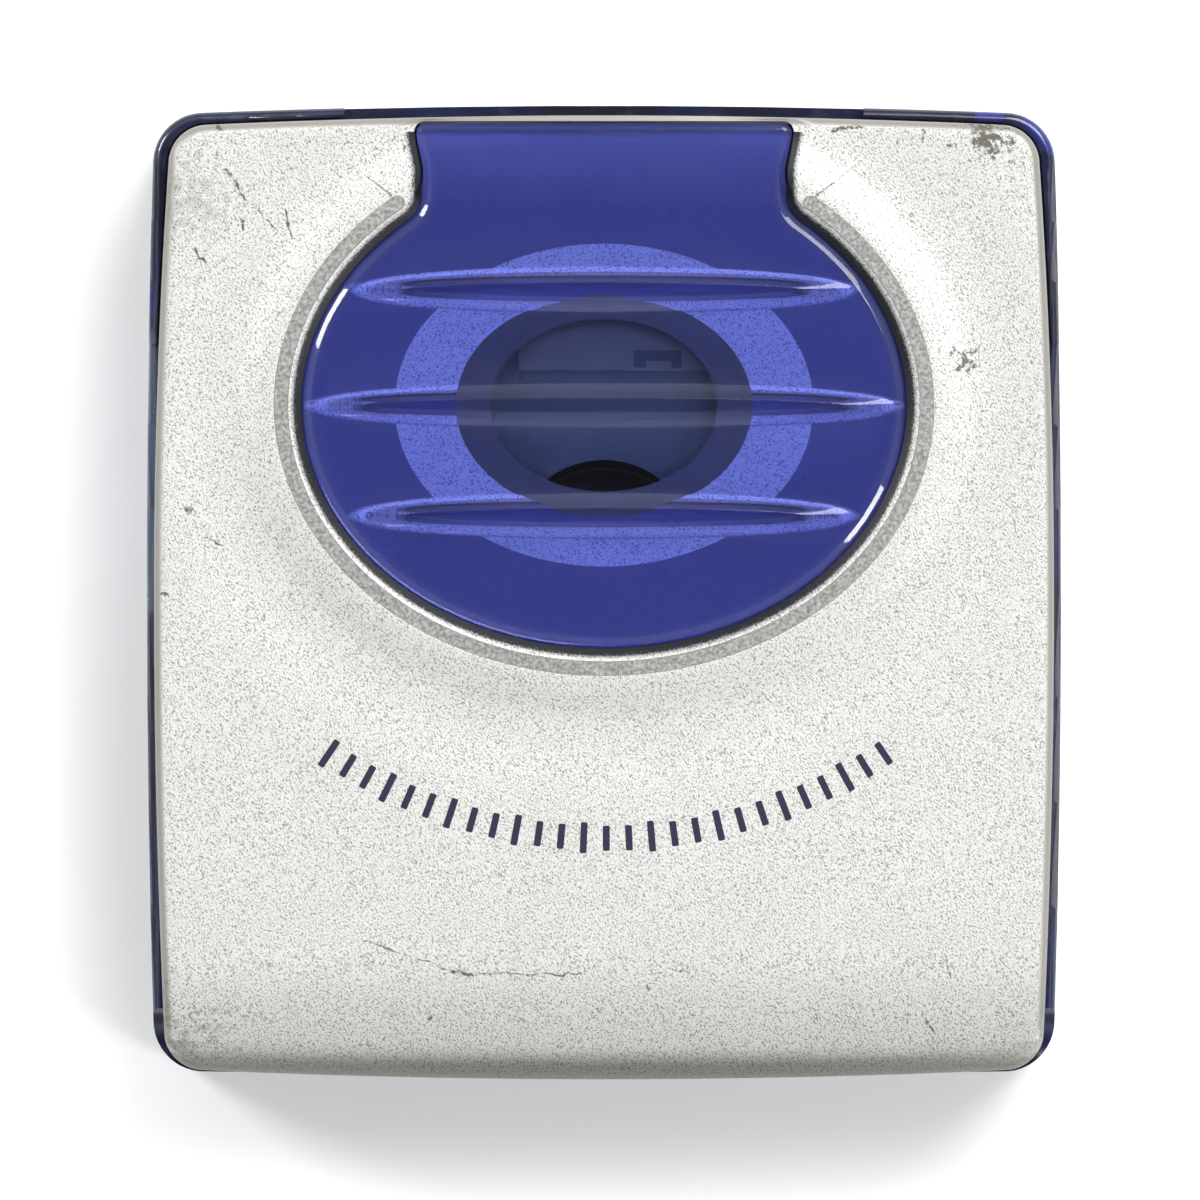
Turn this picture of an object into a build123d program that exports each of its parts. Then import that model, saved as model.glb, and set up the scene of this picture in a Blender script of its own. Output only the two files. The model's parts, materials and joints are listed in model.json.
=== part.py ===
from build123d import *
from math import acos, cos, pi, radians, sin, tan
import os

# Portable minidisc player. A flat hand-held player: a metal lid with an oval window, and the cartridge
# holder under it, open on one hinge at the -Y edge, and the cartridge goes in at the +Y mouth.
# Millimetres, +Z up out of the lid, +X to the right. The origin is on the table under the case's middle.

# ---- driving dimensions ----------------------------------------------------------------------------

# The cartridge and the cell that the player is built round
cart_width = 72.0
cart_depth = 68.0
cart_thick = 5.0
cell_length = 67.0
cell_width = 17.0
cell_thick = 6.0

# Clearances
cart_play = 0.2  # between the cartridge and the sheet round it
slip = 0.15  # between parts that slide past each other
shaft_play = 0.04  # radial, in a running bore
air = 0.3  # between parts that move apart

# Case: a closed band of translucent plastic on a metal bottom cover
case_wall = 1.3
side_space = 2.1  # between the holder's rail and the case wall, for the latch
mouth_space = 2.85  # between the cartridge and the case wall at the mouth
back_space = 11.35  # between the cartridge and the case wall at the hinge
case_side_bow = 0.7  # how much narrower the case is at its corners
case_front_bow = 0.85
case_back_bow = 0.3
case_corner = 4.4
case_round = 0.7
foot_height = 0.6
foot_radius = 3.0
foot_in = 11.0  # from the case's side
foot_in_ends = 11.6
floor_wall = 1.0
floor_round = 1.2
cover_rim = 0.4
cover_inset = 0.25
sill_depth = 3.4  # how far the case's edge drops at the mouth
mouth_half = 22.7
shoulder_height = 2.2
shoulder_from = 21.7
shoulder_gap = 0.25

# Cartridge holder: one bent steel sheet
rail_sheet = 0.4
flange_sheet = 0.3
flange_width = 3.0
holder_back_gap = 0.3
hub_hole = 7.2
leaf_sheet = 0.4
leaf_half = 19.0
leaf_front_gap = 3.0
leaf_notch = 1.9
leaf_notch_left = (-9.3, -7.4)
leaf_notch_right = (2.6, 6.8)
leaf_tongue = (3.7, 5.9)
leaf_tongue_reach = 0.9
spring_slot_x = 24.0
spring_slot_length = 24.0
spring_slot_width = 7.0
spring_slot_behind = 3.0  # from the spindle
back_stop_half = 14.0
back_stop_sheet = 0.25
back_stop_lift = 1.2
opener_sheet = 0.15
opener_behind = (20.0, 16.0)  # from the spindle
leaf_edge = 14.7  # from the spindle to the leaf's straight edge
arm_sheet = 0.6
arm_half = 31.3

# Lid
lid_wall = 0.8
lid_room = 1.5  # over the holder's sheet
frame_wall = 0.8
film_sheet = 0.2
lid_side_inset = 0.7
lid_front_inset = 1.0
lid_boss_radius = 1.6
lid_boss_in = 6.3  # from the lid's side
lid_boss_in_front = 5.6
lid_boss_ahead = 17.4  # from the hinge's axis to the back pair
lid_boss_in_middle = 4.3
lid_boss_middle = 4.0
lid_screw_head = 1.2
lid_screw_drop = 0.4
lid_back_bulge = 0.4
lid_back_past_roll = 0.5  # so that the roll alone shapes the middle of the back
lid_side_bow_front = 1.5
lid_side_bow_back = 1.05
lid_end_bow = 0.95
lid_corner = 3.4
lid_round = 0.8
lid_gap = 0.2
skirt_drop = 0.8  # from the top of the cartridge down to the case's edge
roll_radius = 3.2
roll_end = 240.0  # degrees, where the rolled edge stops under the hinge
crown_drop = 0.4
crown_run = 15.4

# Window: an oval with a neck that runs out to the mouth edge, three blade-shaped ribs on top
oval_half_x = 26.6
oval_half_y = 21.4
oval_ahead = 11.85  # from the spindle to the middle of the oval
neck_half = 15.8
neck_end_half = 16.4
neck_waist = 3.9  # from the neck's end back to its waist
neck_margin = 0.65  # lid left beyond the neck's end
neck_flare = 3.0
neck_corner = 0.9
lens_step = 0.9  # the lens stands this much above the flange
lens_flange = 0.7
lens_flange_width = 1.0
lens_bevel = 0.45
lens_gap = 0.25
rib_height = 0.8
rib_half_width = 1.95
rib_crest_half = 0.6
rib_tip_run = 4.8
rib_pitch_up = 10.1
rib_pitch_down = 9.6
rib_half_middle = 25.6
rib_half_outer = 21.8
bright_oval_x = 18.25
bright_oval_y = 14.05
tint_oval_x = 12.9
tint_oval_y = 9.8
clear_oval_x = 9.85
clear_oval_y = 7.6

# Raised mound of the lid round the window, and the slope inside it
mound_height = 0.6
mound_top = 2.3  # from the window's oval to the mound's brow
mound_foot = 6.2
window_slope = 1.0

# Hinge
pin_radius = 1.0
pin_half_in = 30.7
pin_half_out = 35.3
bracket_half = 32.6
bracket_sheet = 1.2
lid_ear_half = 34.4
lid_ear_width = 1.6
ear_radius = 1.5
ear_root_back = 1.0
ear_root_front = 4.8

# Latch
latch_travel = 3.0
latch_sheet = 0.4
hook_sheet = 0.5
hook_width = 3.0
hook_nose = 0.7
hook_foot = 2.4
hook_drop = 0.6  # below the latch's middle line
hook_ahead = 22.0  # from the spindle to the middle of the hook
knob_length = 5.2
knob_height = 3.0
knob_depth = 0.7
stem_inset = 1.2
knob_mid_z = 10.8

# Keys: a row of four on the -X side, three more in the mouth-side wall
key_count = 4
key_row_length = 22.8
key_row_ahead = 5.85  # from the spindle to the middle of the row
key_height = 3.4
key_mid_z = 6.3
key_gap = 0.3
key_travel = 0.35
key_lip = 0.4
key_lip_sheet = 0.5
button_width = 6.0
bass_width = 4.4
hold_width = 3.2
hold_travel = 2.0
hold_block_left = 2.0
hold_block_right = 4.0
switch_depth = 0.8
switch_half = 1.6
switch_half_z = 1.3
board_thick = 0.6

# Boards, jacks and fasteners
pcb_thick = 0.8
pcb_lift = 0.8
pcb_margin = 0.5
chip_thick = 0.8
chip_beside = 7.4  # from the chassis to the chips' middle
jack_bore = 1.8
jack_depth = 13.0
jack_ahead = 25.5  # from the spindle
jack_size = 5.2
dc_ahead = 12.3
dc_size = 6.4
dc_bore = 2.1
dc_depth = 9.5
boss_radius = 2.0
boss_top = 8.4
boss_web = 1.2
screw_in = 5.6  # from the case's side and ends
standoff_radius = 1.75
standoff_x = 30.0
screw_radius = 0.65
screw_head = 1.35
screw_sink = 0.6

# Battery bay
bay_wall = 0.8
bay_roof = 0.5
cell_play = 0.1
cell_end_space = 0.9
cell_door_space = 1.8
door_pin = 0.35
door_swing_gap = 0.4

# Drive: spindle, pickup on two rods, feed screw and its gears
chassis_sheet = 0.6
chassis_lift = 1.0
chassis_left = 35.8
chassis_right = 20.6
chassis_back = 21.6  # from the spindle
chassis_front = 23.2
motor_base = 6.5
rotor_radius = 6.2
rotor_wall = 0.5
shaft_radius = 0.75
table_radius = 5.2
table_thick = 0.8
table_drop = 1.0  # under the cartridge's bottom
magnet_sink = 0.4
table_boss = 2.0
table_boss_height = 0.9
pole_count = 9
rod_radius = 1.0
sub_rod_radius = 0.8
rod_behind = 12.0
sub_rod_ahead = 9.2
rod_z = 6.2
feed_ahead = 12.95
feed_radius = 1.0
feed_journal = 0.6
gear_module = 0.25
pinion_teeth = 14
wheel_teeth = 20
gear_width = 1.2
backlash = 0.06
motor_radius = 2.4
motor_flat = 2.1
motor_length = 11.0
motor_shaft = 0.5
lens_inner = 16.0  # the objective's distance from the spindle at its innermost
feed_travel = 14.5
sled_out = 3.8
sled_in = 8.0
sled_thick = 2.8
objective_radius = 1.7
focus_travel = 0.3
grommet_radius = 2.5
grommet_waist = 1.8
grommet_height = 1.8
post_radius = 1.2
locate_radius = 0.9
locate_rise = 0.8
collar_radius = 1.5
collar_x = 14.0
collar_behind = 14.0  # from the spindle
collar_ahead = 15.0
rest_radius = 1.2
detect_x = 18.0
detect_half = 1.5
detect_length = 3.2
detect_behind = 5.0  # from the spindle
detect_ahead = 6.5
tab_sheet = 0.8
tab_rise = 1.8  # over the rods' middle
rod_tab_half = 1.8
feed_tab_half = 1.4
tab_right = -6.4
gear_x = -5.4

# ---- levels and places that follow -----------------------------------------------------------------

floor_z = foot_height
floor_top = floor_z + floor_wall
case_z = floor_top + cover_rim
cell_z = case_z + cell_play / 2
roof_z = cell_z + cell_thick + cell_play
roof_top = roof_z + bay_roof
flange_z = roof_top + slip
cart_z = flange_z + flange_sheet + cart_play / 2
cart_top = cart_z + cart_thick
sheet_z = cart_top + cart_play
sheet_top = sheet_z + rail_sheet
frame_z = sheet_top + lid_room
frame_top = frame_z + frame_wall
film_top = frame_top + film_sheet
lid_under = film_top + lens_flange
lid_top = lid_under + lid_wall
case_top = cart_top - skirt_drop
sill_z = case_top - sill_depth
skirt_z = case_top + lid_gap

case_half = cart_width / 2 + cart_play + rail_sheet + side_space + case_wall
case_depth = cart_depth + mouth_space + back_space + 2 * case_wall
mouth_y = (case_depth + lid_back_bulge) / 2
back_y = mouth_y - case_depth
cart_front = mouth_y - case_wall - mouth_space
spindle_y = cart_front - cart_depth / 2
cart_back = cart_front - cart_depth
lid_half = case_half - lid_side_inset
lid_front = mouth_y - lid_front_inset
lid_back = back_y - lid_back_bulge
axis_y = lid_back + roll_radius
axis_z = lid_top - crown_drop - roll_radius
oval_y = spindle_y + oval_ahead
lens_top = lid_under + lens_step
rail_half = cart_width / 2 + cart_play + rail_sheet
pcb_z = floor_top + pcb_lift
pcb_top = pcb_z + pcb_thick
chassis_z = pcb_top + chassis_lift
chassis_top = chassis_z + chassis_sheet
feed_y = spindle_y + feed_ahead
gear_distance = gear_module * (pinion_teeth + wheel_teeth) / 2
motor_y = feed_y + gear_distance
bay_back = back_y + case_wall + 0.5
cell_back = back_y + case_wall + 1.0
cell_front = cell_back + cell_width
bay_front = cell_front + cell_play + 0.1
cell_left = -(case_half - case_wall - cell_door_space)
cell_right = cell_left + cell_length
key_z0 = key_mid_z - key_height / 2
key_z1 = key_mid_z + key_height / 2
key_in = case_wall + 0.05 + key_lip_sheet + key_travel + 0.1
hold_mid = 16.0
tab_left = 0.2 - chassis_left

# Places as (x, y)
lid_screw_places = [
    *[(side * (lid_half - lid_boss_in), lid_front - lid_boss_in_front) for side in (-1, 1)],
    *[(side * (lid_half - lid_boss_in), axis_y + lid_boss_ahead) for side in (-1, 1)],
    *[(side * (lid_half - lid_boss_in_middle), lid_boss_middle) for side in (-1, 1)],
]
screw_places = [
    (screw_in - case_half, mouth_y - screw_in),
    (case_half - screw_in, mouth_y - screw_in),
    (case_half - screw_in, back_y + screw_in),
    (screw_in - case_half, bay_front + bay_wall + boss_radius + air),
]
grommet_places = [
    (x, y)
    for x in (2.8 - chassis_left, chassis_right - 2.4)
    for y in (spindle_y - chassis_back + 2.6, spindle_y + chassis_front - 2.6)
]
standoff_places = [
    (-standoff_x, mouth_y - 9.6),
    (0.0, mouth_y - 8.6),
    (standoff_x, spindle_y + 10.55),
    (standoff_x, bay_front + 4.7),
    (-6.0, bay_front + 4.2),
]
rest_places = [(-26.0, spindle_y - 18.5), (-24.5, spindle_y + 20.5)]
chip_places = {  # with each chip's width and depth
    (chassis_right + chip_beside, spindle_y - 12.5): (9.0, 9.0),
    (chassis_right + chip_beside, spindle_y): (7.0, 6.0),
    (-12.0, mouth_y - 9.6): (10.0, 6.0),
    (8.0, mouth_y - 9.1): (8.0, 5.0),
}


# ---- shapes used all over --------------------------------------------------------------------------


def block(x0, x1, y0, y1, z0, z1):
    """A box between two corners."""
    return Pos((x0 + x1) / 2, (y0 + y1) / 2, (z0 + z1) / 2) * Box(abs(x1 - x0), abs(y1 - y0), abs(z1 - z0))


def post(x, y, radius, z0, z1):
    """A round post along Z."""
    return Pos(x, y, (z0 + z1) / 2) * Cylinder(radius, z1 - z0)


def rod(x0, x1, y, z, radius):
    """A round rod along X."""
    return Pos((x0 + x1) / 2, y, z) * Rot(0, 90, 0) * Cylinder(radius, abs(x1 - x0))


def slab(face, z0, z1):
    """A flat outline drawn in XY, raised from z0 to z1."""
    return extrude(Pos(0, 0, z0) * face, amount=z1 - z0, dir=(0, 0, 1))


def side_profile(face, x0, x1):
    """An outline drawn in the YZ plane, run from x0 to x1."""
    plane = Plane(origin=(x0, 0, 0), x_dir=(0, 1, 0), z_dir=(1, 0, 0))
    return extrude(plane * face, amount=x1 - x0, dir=(1, 0, 0))


def both_sides(shape):
    """The shape and its mirror image across the middle plane."""
    return [shape, mirror(shape, Plane.YZ)]


def group(shapes):
    """Several separate solids kept in one node."""
    return Compound(children=[s for shape in shapes for s in shape.solids()])


def bowed_outline(half, front, back, front_half, back_half, front_bow, back_bow, corner):
    """A four-sided outline with gently bowed sides and rounded corners, widest at y = 0."""
    front_corner = (front_half, front - front_bow)
    back_corner = (back_half, back + back_bow)
    right = [
        TangentArc((half, 0), front_corner, tangent=(0, 1)),
        TangentArc((half, 0), back_corner, tangent=(0, -1)),
    ]
    left = [mirror(edge, Plane.YZ) for edge in right]
    ends = [
        ThreePointArc(front_corner, (0, front), (-front_half, front - front_bow)),
        ThreePointArc(back_corner, (0, back), (-back_half, back + back_bow)),
    ]
    face = make_face(right + left + ends)
    corners = [v for v in face.vertices() if abs(v.Y) > 1]
    return fillet(corners, corner)


def case_outline(inset=0.0):
    """The case seen from above, or the same line moved inwards."""
    narrow = case_half - case_side_bow
    face = bowed_outline(
        case_half, mouth_y, back_y, narrow, narrow, case_front_bow, case_back_bow, case_corner
    )
    return offset(face, amount=-inset) if inset else face


def lid_outline(inset=0.0):
    """The lid seen from above, or the same line moved inwards."""
    face = bowed_outline(
        lid_half,
        lid_front,
        lid_back - lid_back_past_roll,
        lid_half - lid_side_bow_front,
        lid_half - lid_side_bow_back,
        lid_end_bow,
        lid_end_bow + lid_back_past_roll,
        lid_corner,
    )
    return offset(face, amount=-inset) if inset else face


def wall_x(y):
    """How far out the case's side lies at y."""
    return case_half - case_side_bow * (y / mouth_y) ** 2


def case_band(inset, thick, z0, z1):
    """A band that follows the case's outline, from inset to inset + thick."""
    return slab(case_outline(inset), z0, z1) - slab(case_outline(inset + thick), z0, z1)


def oval(half_x, half_y):
    """An oval about the middle of the window."""
    return Pos(0, oval_y) * Ellipse(half_x, half_y)


def window_outline(grow=0.0, neck_grow=None):
    """The oval with its neck: straight-sided, waisted, and flared into the oval."""
    neck_more = grow if neck_grow is None else neck_grow
    end = lid_front - neck_margin + min(neck_more, neck_margin / 3)
    waist = lid_front - neck_margin - neck_waist
    neck = make_face(
        Polyline(
            (-neck_end_half - neck_more, end),
            (-neck_half - neck_more, waist),
            (-neck_half - neck_more, oval_y),
            (neck_half + neck_more, oval_y),
            (neck_half + neck_more, waist),
            (neck_end_half + neck_more, end),
            close=True,
        )
    )
    face = oval(oval_half_x + grow, oval_half_y + grow) + neck
    inner = [v for v in face.vertices() if oval_y + 1 < v.Y < waist - 0.2]
    face = fillet(inner, neck_flare)
    ends = [v for v in face.vertices() if v.Y > end - 0.5]
    return fillet(ends, neck_corner)


# ---- lid ------------------------------------------------------------------------------------------


def lid_profile(inset, low_z):
    """The lid from the side: flat, then crowned down into the roll that wraps the hinge axis."""
    radius = roll_radius - inset
    top = lid_top - inset
    lean = 2 * crown_drop / crown_run
    start = (axis_y - radius * sin(lean), axis_z + radius * cos(lean))
    low = axis_z - low_z
    tail = (axis_y + (radius**2 - low**2) ** 0.5, low_z)
    beyond = lid_front + 5
    return make_face(
        [
            Line((beyond, top), (axis_y + crown_run, top)),
            TangentArc((axis_y + crown_run, top), start, tangent=(-1, 0)),
            ThreePointArc(start, (axis_y, axis_z - radius), tail),
            Line(tail, (beyond, low_z)),
            Line((beyond, low_z), (beyond, top)),
        ]
    )


def roll_mouth():
    """The wedge under the hinge axis where the roll is open."""
    reach = 2 * roll_radius
    angles = [radians(a) for a in (roll_end, 285.0, 330.0)]
    corners = [(axis_y + reach * cos(a), axis_z + reach * sin(a)) for a in angles]
    return make_face(Polyline((axis_y, axis_z), *corners, close=True))


def lid_mound():
    """The soft mound round the window, an oval frustum with its foot let into the lid."""
    brow = Pos(0, 0, lid_top + mound_height) * oval(oval_half_x + mound_top, oval_half_y + mound_top)
    foot = Pos(0, 0, lid_top - 0.05) * oval(oval_half_x + mound_foot, oval_half_y + mound_foot)
    cone = loft([foot.face(), brow.face()], ruled=True)
    return cone & slab(lid_outline(lid_round), lid_under, lid_top + 2 * mound_height)


def lid_cavity():
    """The hollow of the lid, open below."""
    hollow = slab(lid_outline(lid_wall), sill_z - 1, lid_top) & side_profile(
        lid_profile(lid_wall, skirt_z - 0.01), -case_half, case_half
    )
    inner_half = lid_half - lid_side_bow_back - lid_wall
    mouth = side_profile(roll_mouth(), -inner_half, inner_half)
    return hollow + mouth


def lid_shell():
    """The pressed lid: skirt, roll over the hinge, front lip over the mouth and the window's mound."""
    body = slab(lid_outline(), axis_z - 2 * roll_radius, lid_top + 1)
    body &= side_profile(lid_profile(0, skirt_z), -case_half, case_half)
    rim = [e for e in body.edges() if e.center().Z > lid_top - 0.9 and e.center().Y > axis_y + 1]
    rim = [e for e in rim if abs(e.center().X) > lid_half - 4 or e.center().Y > lid_front - 4]
    body = fillet(rim, lid_round)
    body += lid_mound()
    body -= lid_cavity()
    lip_half = mouth_half - lid_gap
    lip = slab(lid_outline(), sill_z + lid_gap, skirt_z + 0.5) - slab(lid_outline(lid_wall), 0, lid_top)
    body += lip & block(-lip_half, lip_half, 0, mouth_y, 0, lid_top)
    body -= slab(window_outline(lens_gap, slip), lid_under - 0.01, lid_top + 2)
    slope_low = Pos(0, 0, lid_top - 0.2) * window_outline(lens_gap, slip)
    slope_high = Pos(0, 0, lid_top + mound_height + 0.01) * window_outline(window_slope, slip + 0.1)
    body -= loft([slope_low.face(), slope_high.face()], ruled=True)
    return body


def rib(half_length, y):
    """One blade of the window: a long thin oval whose flanks slope up to a narrow flat crest."""
    foot = Pos(0, y, lens_top - 0.01) * Ellipse(half_length, rib_half_width)
    crest = Pos(0, y, lens_top + rib_height) * Ellipse(half_length - rib_tip_run, rib_crest_half)
    return loft([foot.face(), crest.face()], ruled=True)


def under_window(z0, z1):
    """A layer under the window that keeps clear of the lid's skirt at the neck."""
    return slab(window_outline(lens_flange_width, 0), z0, z1) & slab(lid_outline(lid_wall + slip), z0, z1)


def window_lens():
    """The moulded lens: bevelled edge, flange under the lid, three ribs."""
    lens = slab(window_outline(), lid_under - 0.01, lens_top)
    edge = lens.edges().group_by(Axis.Z)[-1]
    lens = chamfer(edge, lens_bevel)
    lens += under_window(film_top, lid_under)
    for half, y in (
        (rib_half_outer, oval_y + rib_pitch_up),
        (rib_half_middle, oval_y),
        (rib_half_outer, oval_y - rib_pitch_down),
    ):
        lens += rib(half, y)
    return lens


def window_films():
    """Three printed films under the lens, each inside the next."""
    outer = under_window(frame_top, film_top)
    bright = slab(oval(bright_oval_x, bright_oval_y), frame_top, film_top)
    tinted = slab(oval(tint_oval_x, tint_oval_y), frame_top, film_top)
    clear = slab(oval(clear_oval_x, clear_oval_y), frame_top, film_top)
    return outer - bright, bright - tinted, tinted - clear


def lid_ears():
    """The two ears that hang the lid on its pins."""
    ear = Pos(axis_y, axis_z) * Circle(ear_radius)
    root_y = axis_y + (ear_root_front - ear_root_back) / 2
    root_length = ear_root_front + ear_root_back
    ear += Pos(root_y, (axis_z + frame_top) / 2) * Rectangle(root_length, frame_top - axis_z)
    ear -= Pos(axis_y, axis_z) * Circle(pin_radius + shaft_play)
    x0 = lid_ear_half - lid_ear_width / 2
    return both_sides(side_profile(ear, x0, x0 + lid_ear_width))


def lid_inner_frame():
    """The moulded plate that backs the lid: bosses up to the lid, ears down to the hinge."""
    back = axis_y + ear_radius + 1.0
    plate = slab(lid_outline(lid_wall + slip), frame_z, frame_top)
    plate &= block(-case_half, case_half, back, mouth_y, frame_z, frame_top)
    plate -= slab(oval(tint_oval_x, tint_oval_y), frame_z, frame_top)
    for ear in lid_ears():
        plate += ear
    for x, y in lid_screw_places:
        plate += post(x, y, lid_boss_radius, frame_top - 0.01, lid_under)
        plate -= post(x, y, screw_radius, frame_z, lid_under)
    return plate


def lid_screws():
    """Small screws that hold the inner frame to the lid."""
    screws = []
    for x, y in lid_screw_places:
        head = post(x, y, lid_screw_head, frame_z - lid_screw_drop, frame_z)
        screws.append(head + post(x, y, screw_radius - 0.05, frame_z, lid_under))
    return group(screws)


def hook_x():
    """The hook hangs between the holder's rail and the latch plate."""
    return rail_half + air


def latch_x():
    """The latch plate's inner face."""
    return hook_x() + hook_sheet + slip


def lid_hook():
    """The steel hook under the lid that the latch plate catches by its nose."""
    y0 = spindle_y + hook_ahead - hook_width / 2
    y1 = y0 + hook_width
    low = knob_mid_z - hook_drop
    x0 = hook_x()
    x1 = x0 + hook_sheet
    hook = block(x0, x1, y0, y1, low, frame_z)
    hook += block(x1 - 0.01, latch_x() + latch_sheet - 0.05, y0, y1, low, low + hook_nose)
    return hook + block(x0 - hook_foot, x1, y0, y1, frame_z - hook_sheet, frame_z)


# ---- case -----------------------------------------------------------------------------------------


def shoulders():
    """The two raised corners at the mouth that stand beside the lid."""
    top = case_top + shoulder_height
    body = slab(case_outline(), case_top - 2 * case_round, top)
    body = fillet(body.edges().group_by(Axis.Z)[-1], case_round)
    body -= slab(lid_outline(-shoulder_gap), 0, top)
    body &= block(-case_half, case_half, shoulder_from, mouth_y, 0, top)
    return body - block(-mouth_half, mouth_half, 0, mouth_y + 1, 0, top)


def screw_boss(x, y):
    """A boss for a case screw with a web out to the side wall."""
    side = 1 if x > 0 else -1
    wall = side * (case_half - case_side_bow - case_wall / 2)
    boss = post(x, y, boss_radius, floor_top, boss_top)
    return boss + block(x, wall, y - boss_web / 2, y + boss_web / 2, case_z, boss_top)


def battery_bay():
    """Partition, roof and end wall round the cell."""
    left = -(case_half - case_wall / 2)
    right = cell_right + cell_end_space + bay_wall
    bay = block(left, right, bay_front, bay_front + bay_wall, case_z, roof_top)
    bay += block(left, bracket_half + 2.0, back_y + case_wall / 2, bay_front + bay_wall, roof_z, roof_top)
    bay += block(right - bay_wall, right, back_y + case_wall / 2, bay_front + bay_wall, case_z, roof_top)
    return bay & slab(case_outline(case_wall / 2), case_z, roof_top)


def door_axis():
    """The battery door's hinge axis, inside the thickness of the wall."""
    y = cell_front - 0.4
    return -(wall_x(y) - case_wall / 2), y


def door_opening():
    """The hole in the -X wall that the cell goes in by."""
    x, y = door_axis()
    y0 = cell_back - door_swing_gap
    return block(-case_half - 1, x + 3 * case_wall, y0, y + case_wall / 2 + slip, case_z, roof_z + slip)


def key_window():
    """The slot in the -X wall for the row of keys."""
    mid = spindle_y + key_row_ahead
    half = key_row_length / 2
    return block(-case_half - 1, -case_half + 4, mid - half, mid + half, key_z0, key_z1)


def button_places():
    """Middle and width of each button in the mouth-side wall."""
    return {
        "volume_down": (-12.0, button_width),
        "volume_up": (-12.0 + button_width + key_gap, button_width),
        "bass_button": (4.0, bass_width),
    }


def front_windows():
    """The holes in the mouth-side wall for the buttons and the hold switch's stem."""
    cuts = []
    for x, width in button_places().values():
        cuts.append(block(x - width / 2, x + width / 2, mouth_y - 4, mouth_y + 1, key_z0, key_z1))
    x0 = hold_mid - hold_width / 2 - 0.4
    x1 = hold_mid + hold_width / 2 + hold_travel + 0.4
    cuts.append(block(x0, x1, mouth_y - 0.7, mouth_y + 1, key_z0, key_z1))
    x0 = hold_mid - 0.9
    x1 = hold_mid + 0.9 + hold_travel
    cuts.append(block(x0, x1, mouth_y - 4, mouth_y, key_mid_z - 0.75, key_mid_z + 0.75))
    return cuts


def slider_cuts():
    """The finger recess and the slot for the open slider in the +X wall."""
    y0 = slider_y()
    y1 = y0 + knob_length + latch_travel
    z0 = knob_mid_z - knob_height / 2 - slip
    z1 = knob_mid_z + knob_height / 2 + slip
    recess = block(case_half - knob_depth, case_half + 1, y0 - slip, y1 + slip, z0, z1)
    return recess + block(case_half - 4, case_half + 1, y0 + 1, y1 - 1, knob_mid_z - 0.8, knob_mid_z + 0.8)


def jack_holes():
    """Holes in the +X wall for the two jacks' collars."""
    holes = rod(case_half - 5, case_half + 1, spindle_y + jack_ahead, jack_z(), jack_size / 2)
    return holes + rod(case_half - 5, case_half + 1, spindle_y + dc_ahead, jack_z(), jack_size / 2)


def jack_z():
    """Both jacks lie on the board, under the cartridge."""
    return pcb_top + 0.2 + jack_size / 2


def mid_frame():
    """The translucent band of the case with its bosses, bay and openings."""
    body = slab(case_outline(), case_z, case_top)
    body = fillet(body.edges().group_by(Axis.Z)[-1], case_round)
    body += shoulders()
    body -= slab(case_outline(case_wall), 0, lid_top)
    body -= block(-mouth_half, mouth_half, mouth_y - 5, mouth_y + 1, sill_z, lid_top)
    body += battery_bay()
    for x, y in screw_places:
        body += screw_boss(x, y)
    body -= rod(-case_half, case_half, axis_y, axis_z, roll_radius + air)
    for cut in [door_opening(), key_window(), slider_cuts(), jack_holes(), *front_windows()]:
        body -= cut
    for x, y in screw_places:
        body -= post(x, y, screw_radius + shaft_play, 0, boss_top - 1)
    x, y = door_axis()
    return body - post(x, y, door_pin, case_z, roof_top + 0.6)


def bottom_cover():
    """The metal bottom: a shallow tray with standoffs and the posts that carry the drive."""
    body = slab(case_outline(cover_inset), floor_z, case_z)
    body = fillet(body.edges().group_by(Axis.Z)[0], floor_round)
    body -= slab(case_outline(cover_inset + case_wall), floor_top, case_z)
    for x, y in standoff_places:
        body += post(x, y, standoff_radius, floor_top - 0.01, pcb_z)
    for x, y in grommet_places:
        body += post(x, y, post_radius, floor_top - 0.01, chassis_top + 0.8)
    for x, y in screw_places:
        body -= post(x, y, screw_head + 0.1, 0, floor_z + screw_sink)
        body -= post(x, y, screw_radius + 0.1, 0, floor_top + 0.1)
    return body


def feet():
    """Four rubber feet stuck under the bottom cover."""
    x = case_half - foot_in
    y = mouth_y - foot_in_ends
    return group([post(side * x, end * y, foot_radius, 0, floor_z) for side in (-1, 1) for end in (-1, 1)])


def case_screws():
    """Screws from below through the cover into the bosses."""
    screws = []
    for x, y in screw_places:
        head = post(x, y, screw_head, floor_z + 0.05, floor_z + screw_sink)
        screws.append(head + post(x, y, screw_radius, floor_z + screw_sink - 0.01, boss_top - 2))
    return group(screws)


# ---- hinge ----------------------------------------------------------------------------------------


def hinge_brackets():
    """Steel brackets on the bay roof that reach back to the hinge axis."""
    upright_y = axis_y + roll_radius + air
    arm = make_face(
        Polyline(
            (upright_y + 2.2, roof_top),
            (upright_y + 2.2, axis_z + 0.8),
            (axis_y, axis_z + 0.8),
            (axis_y, axis_z - 0.8),
            (upright_y, axis_z - 0.8),
            (upright_y, roof_top),
            close=True,
        )
    )
    arm += Pos(axis_y, axis_z) * Circle(pin_radius + 0.5)
    arm -= Pos(axis_y, axis_z) * Circle(pin_radius)
    x0 = bracket_half - bracket_sheet / 2
    bracket = side_profile(arm, x0, x0 + bracket_sheet)
    bracket += block(x0 - 4, x0 + bracket_sheet, upright_y - 1.2, upright_y + 2.2, roof_top, roof_top + 0.6)
    return group(both_sides(bracket))


def hinge_pins():
    """One pin a side: the holder's arm, the bracket and the lid's ear sit on it in that order."""
    return group(both_sides(rod(pin_half_in, pin_half_out, axis_y, axis_z, pin_radius)))


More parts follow.
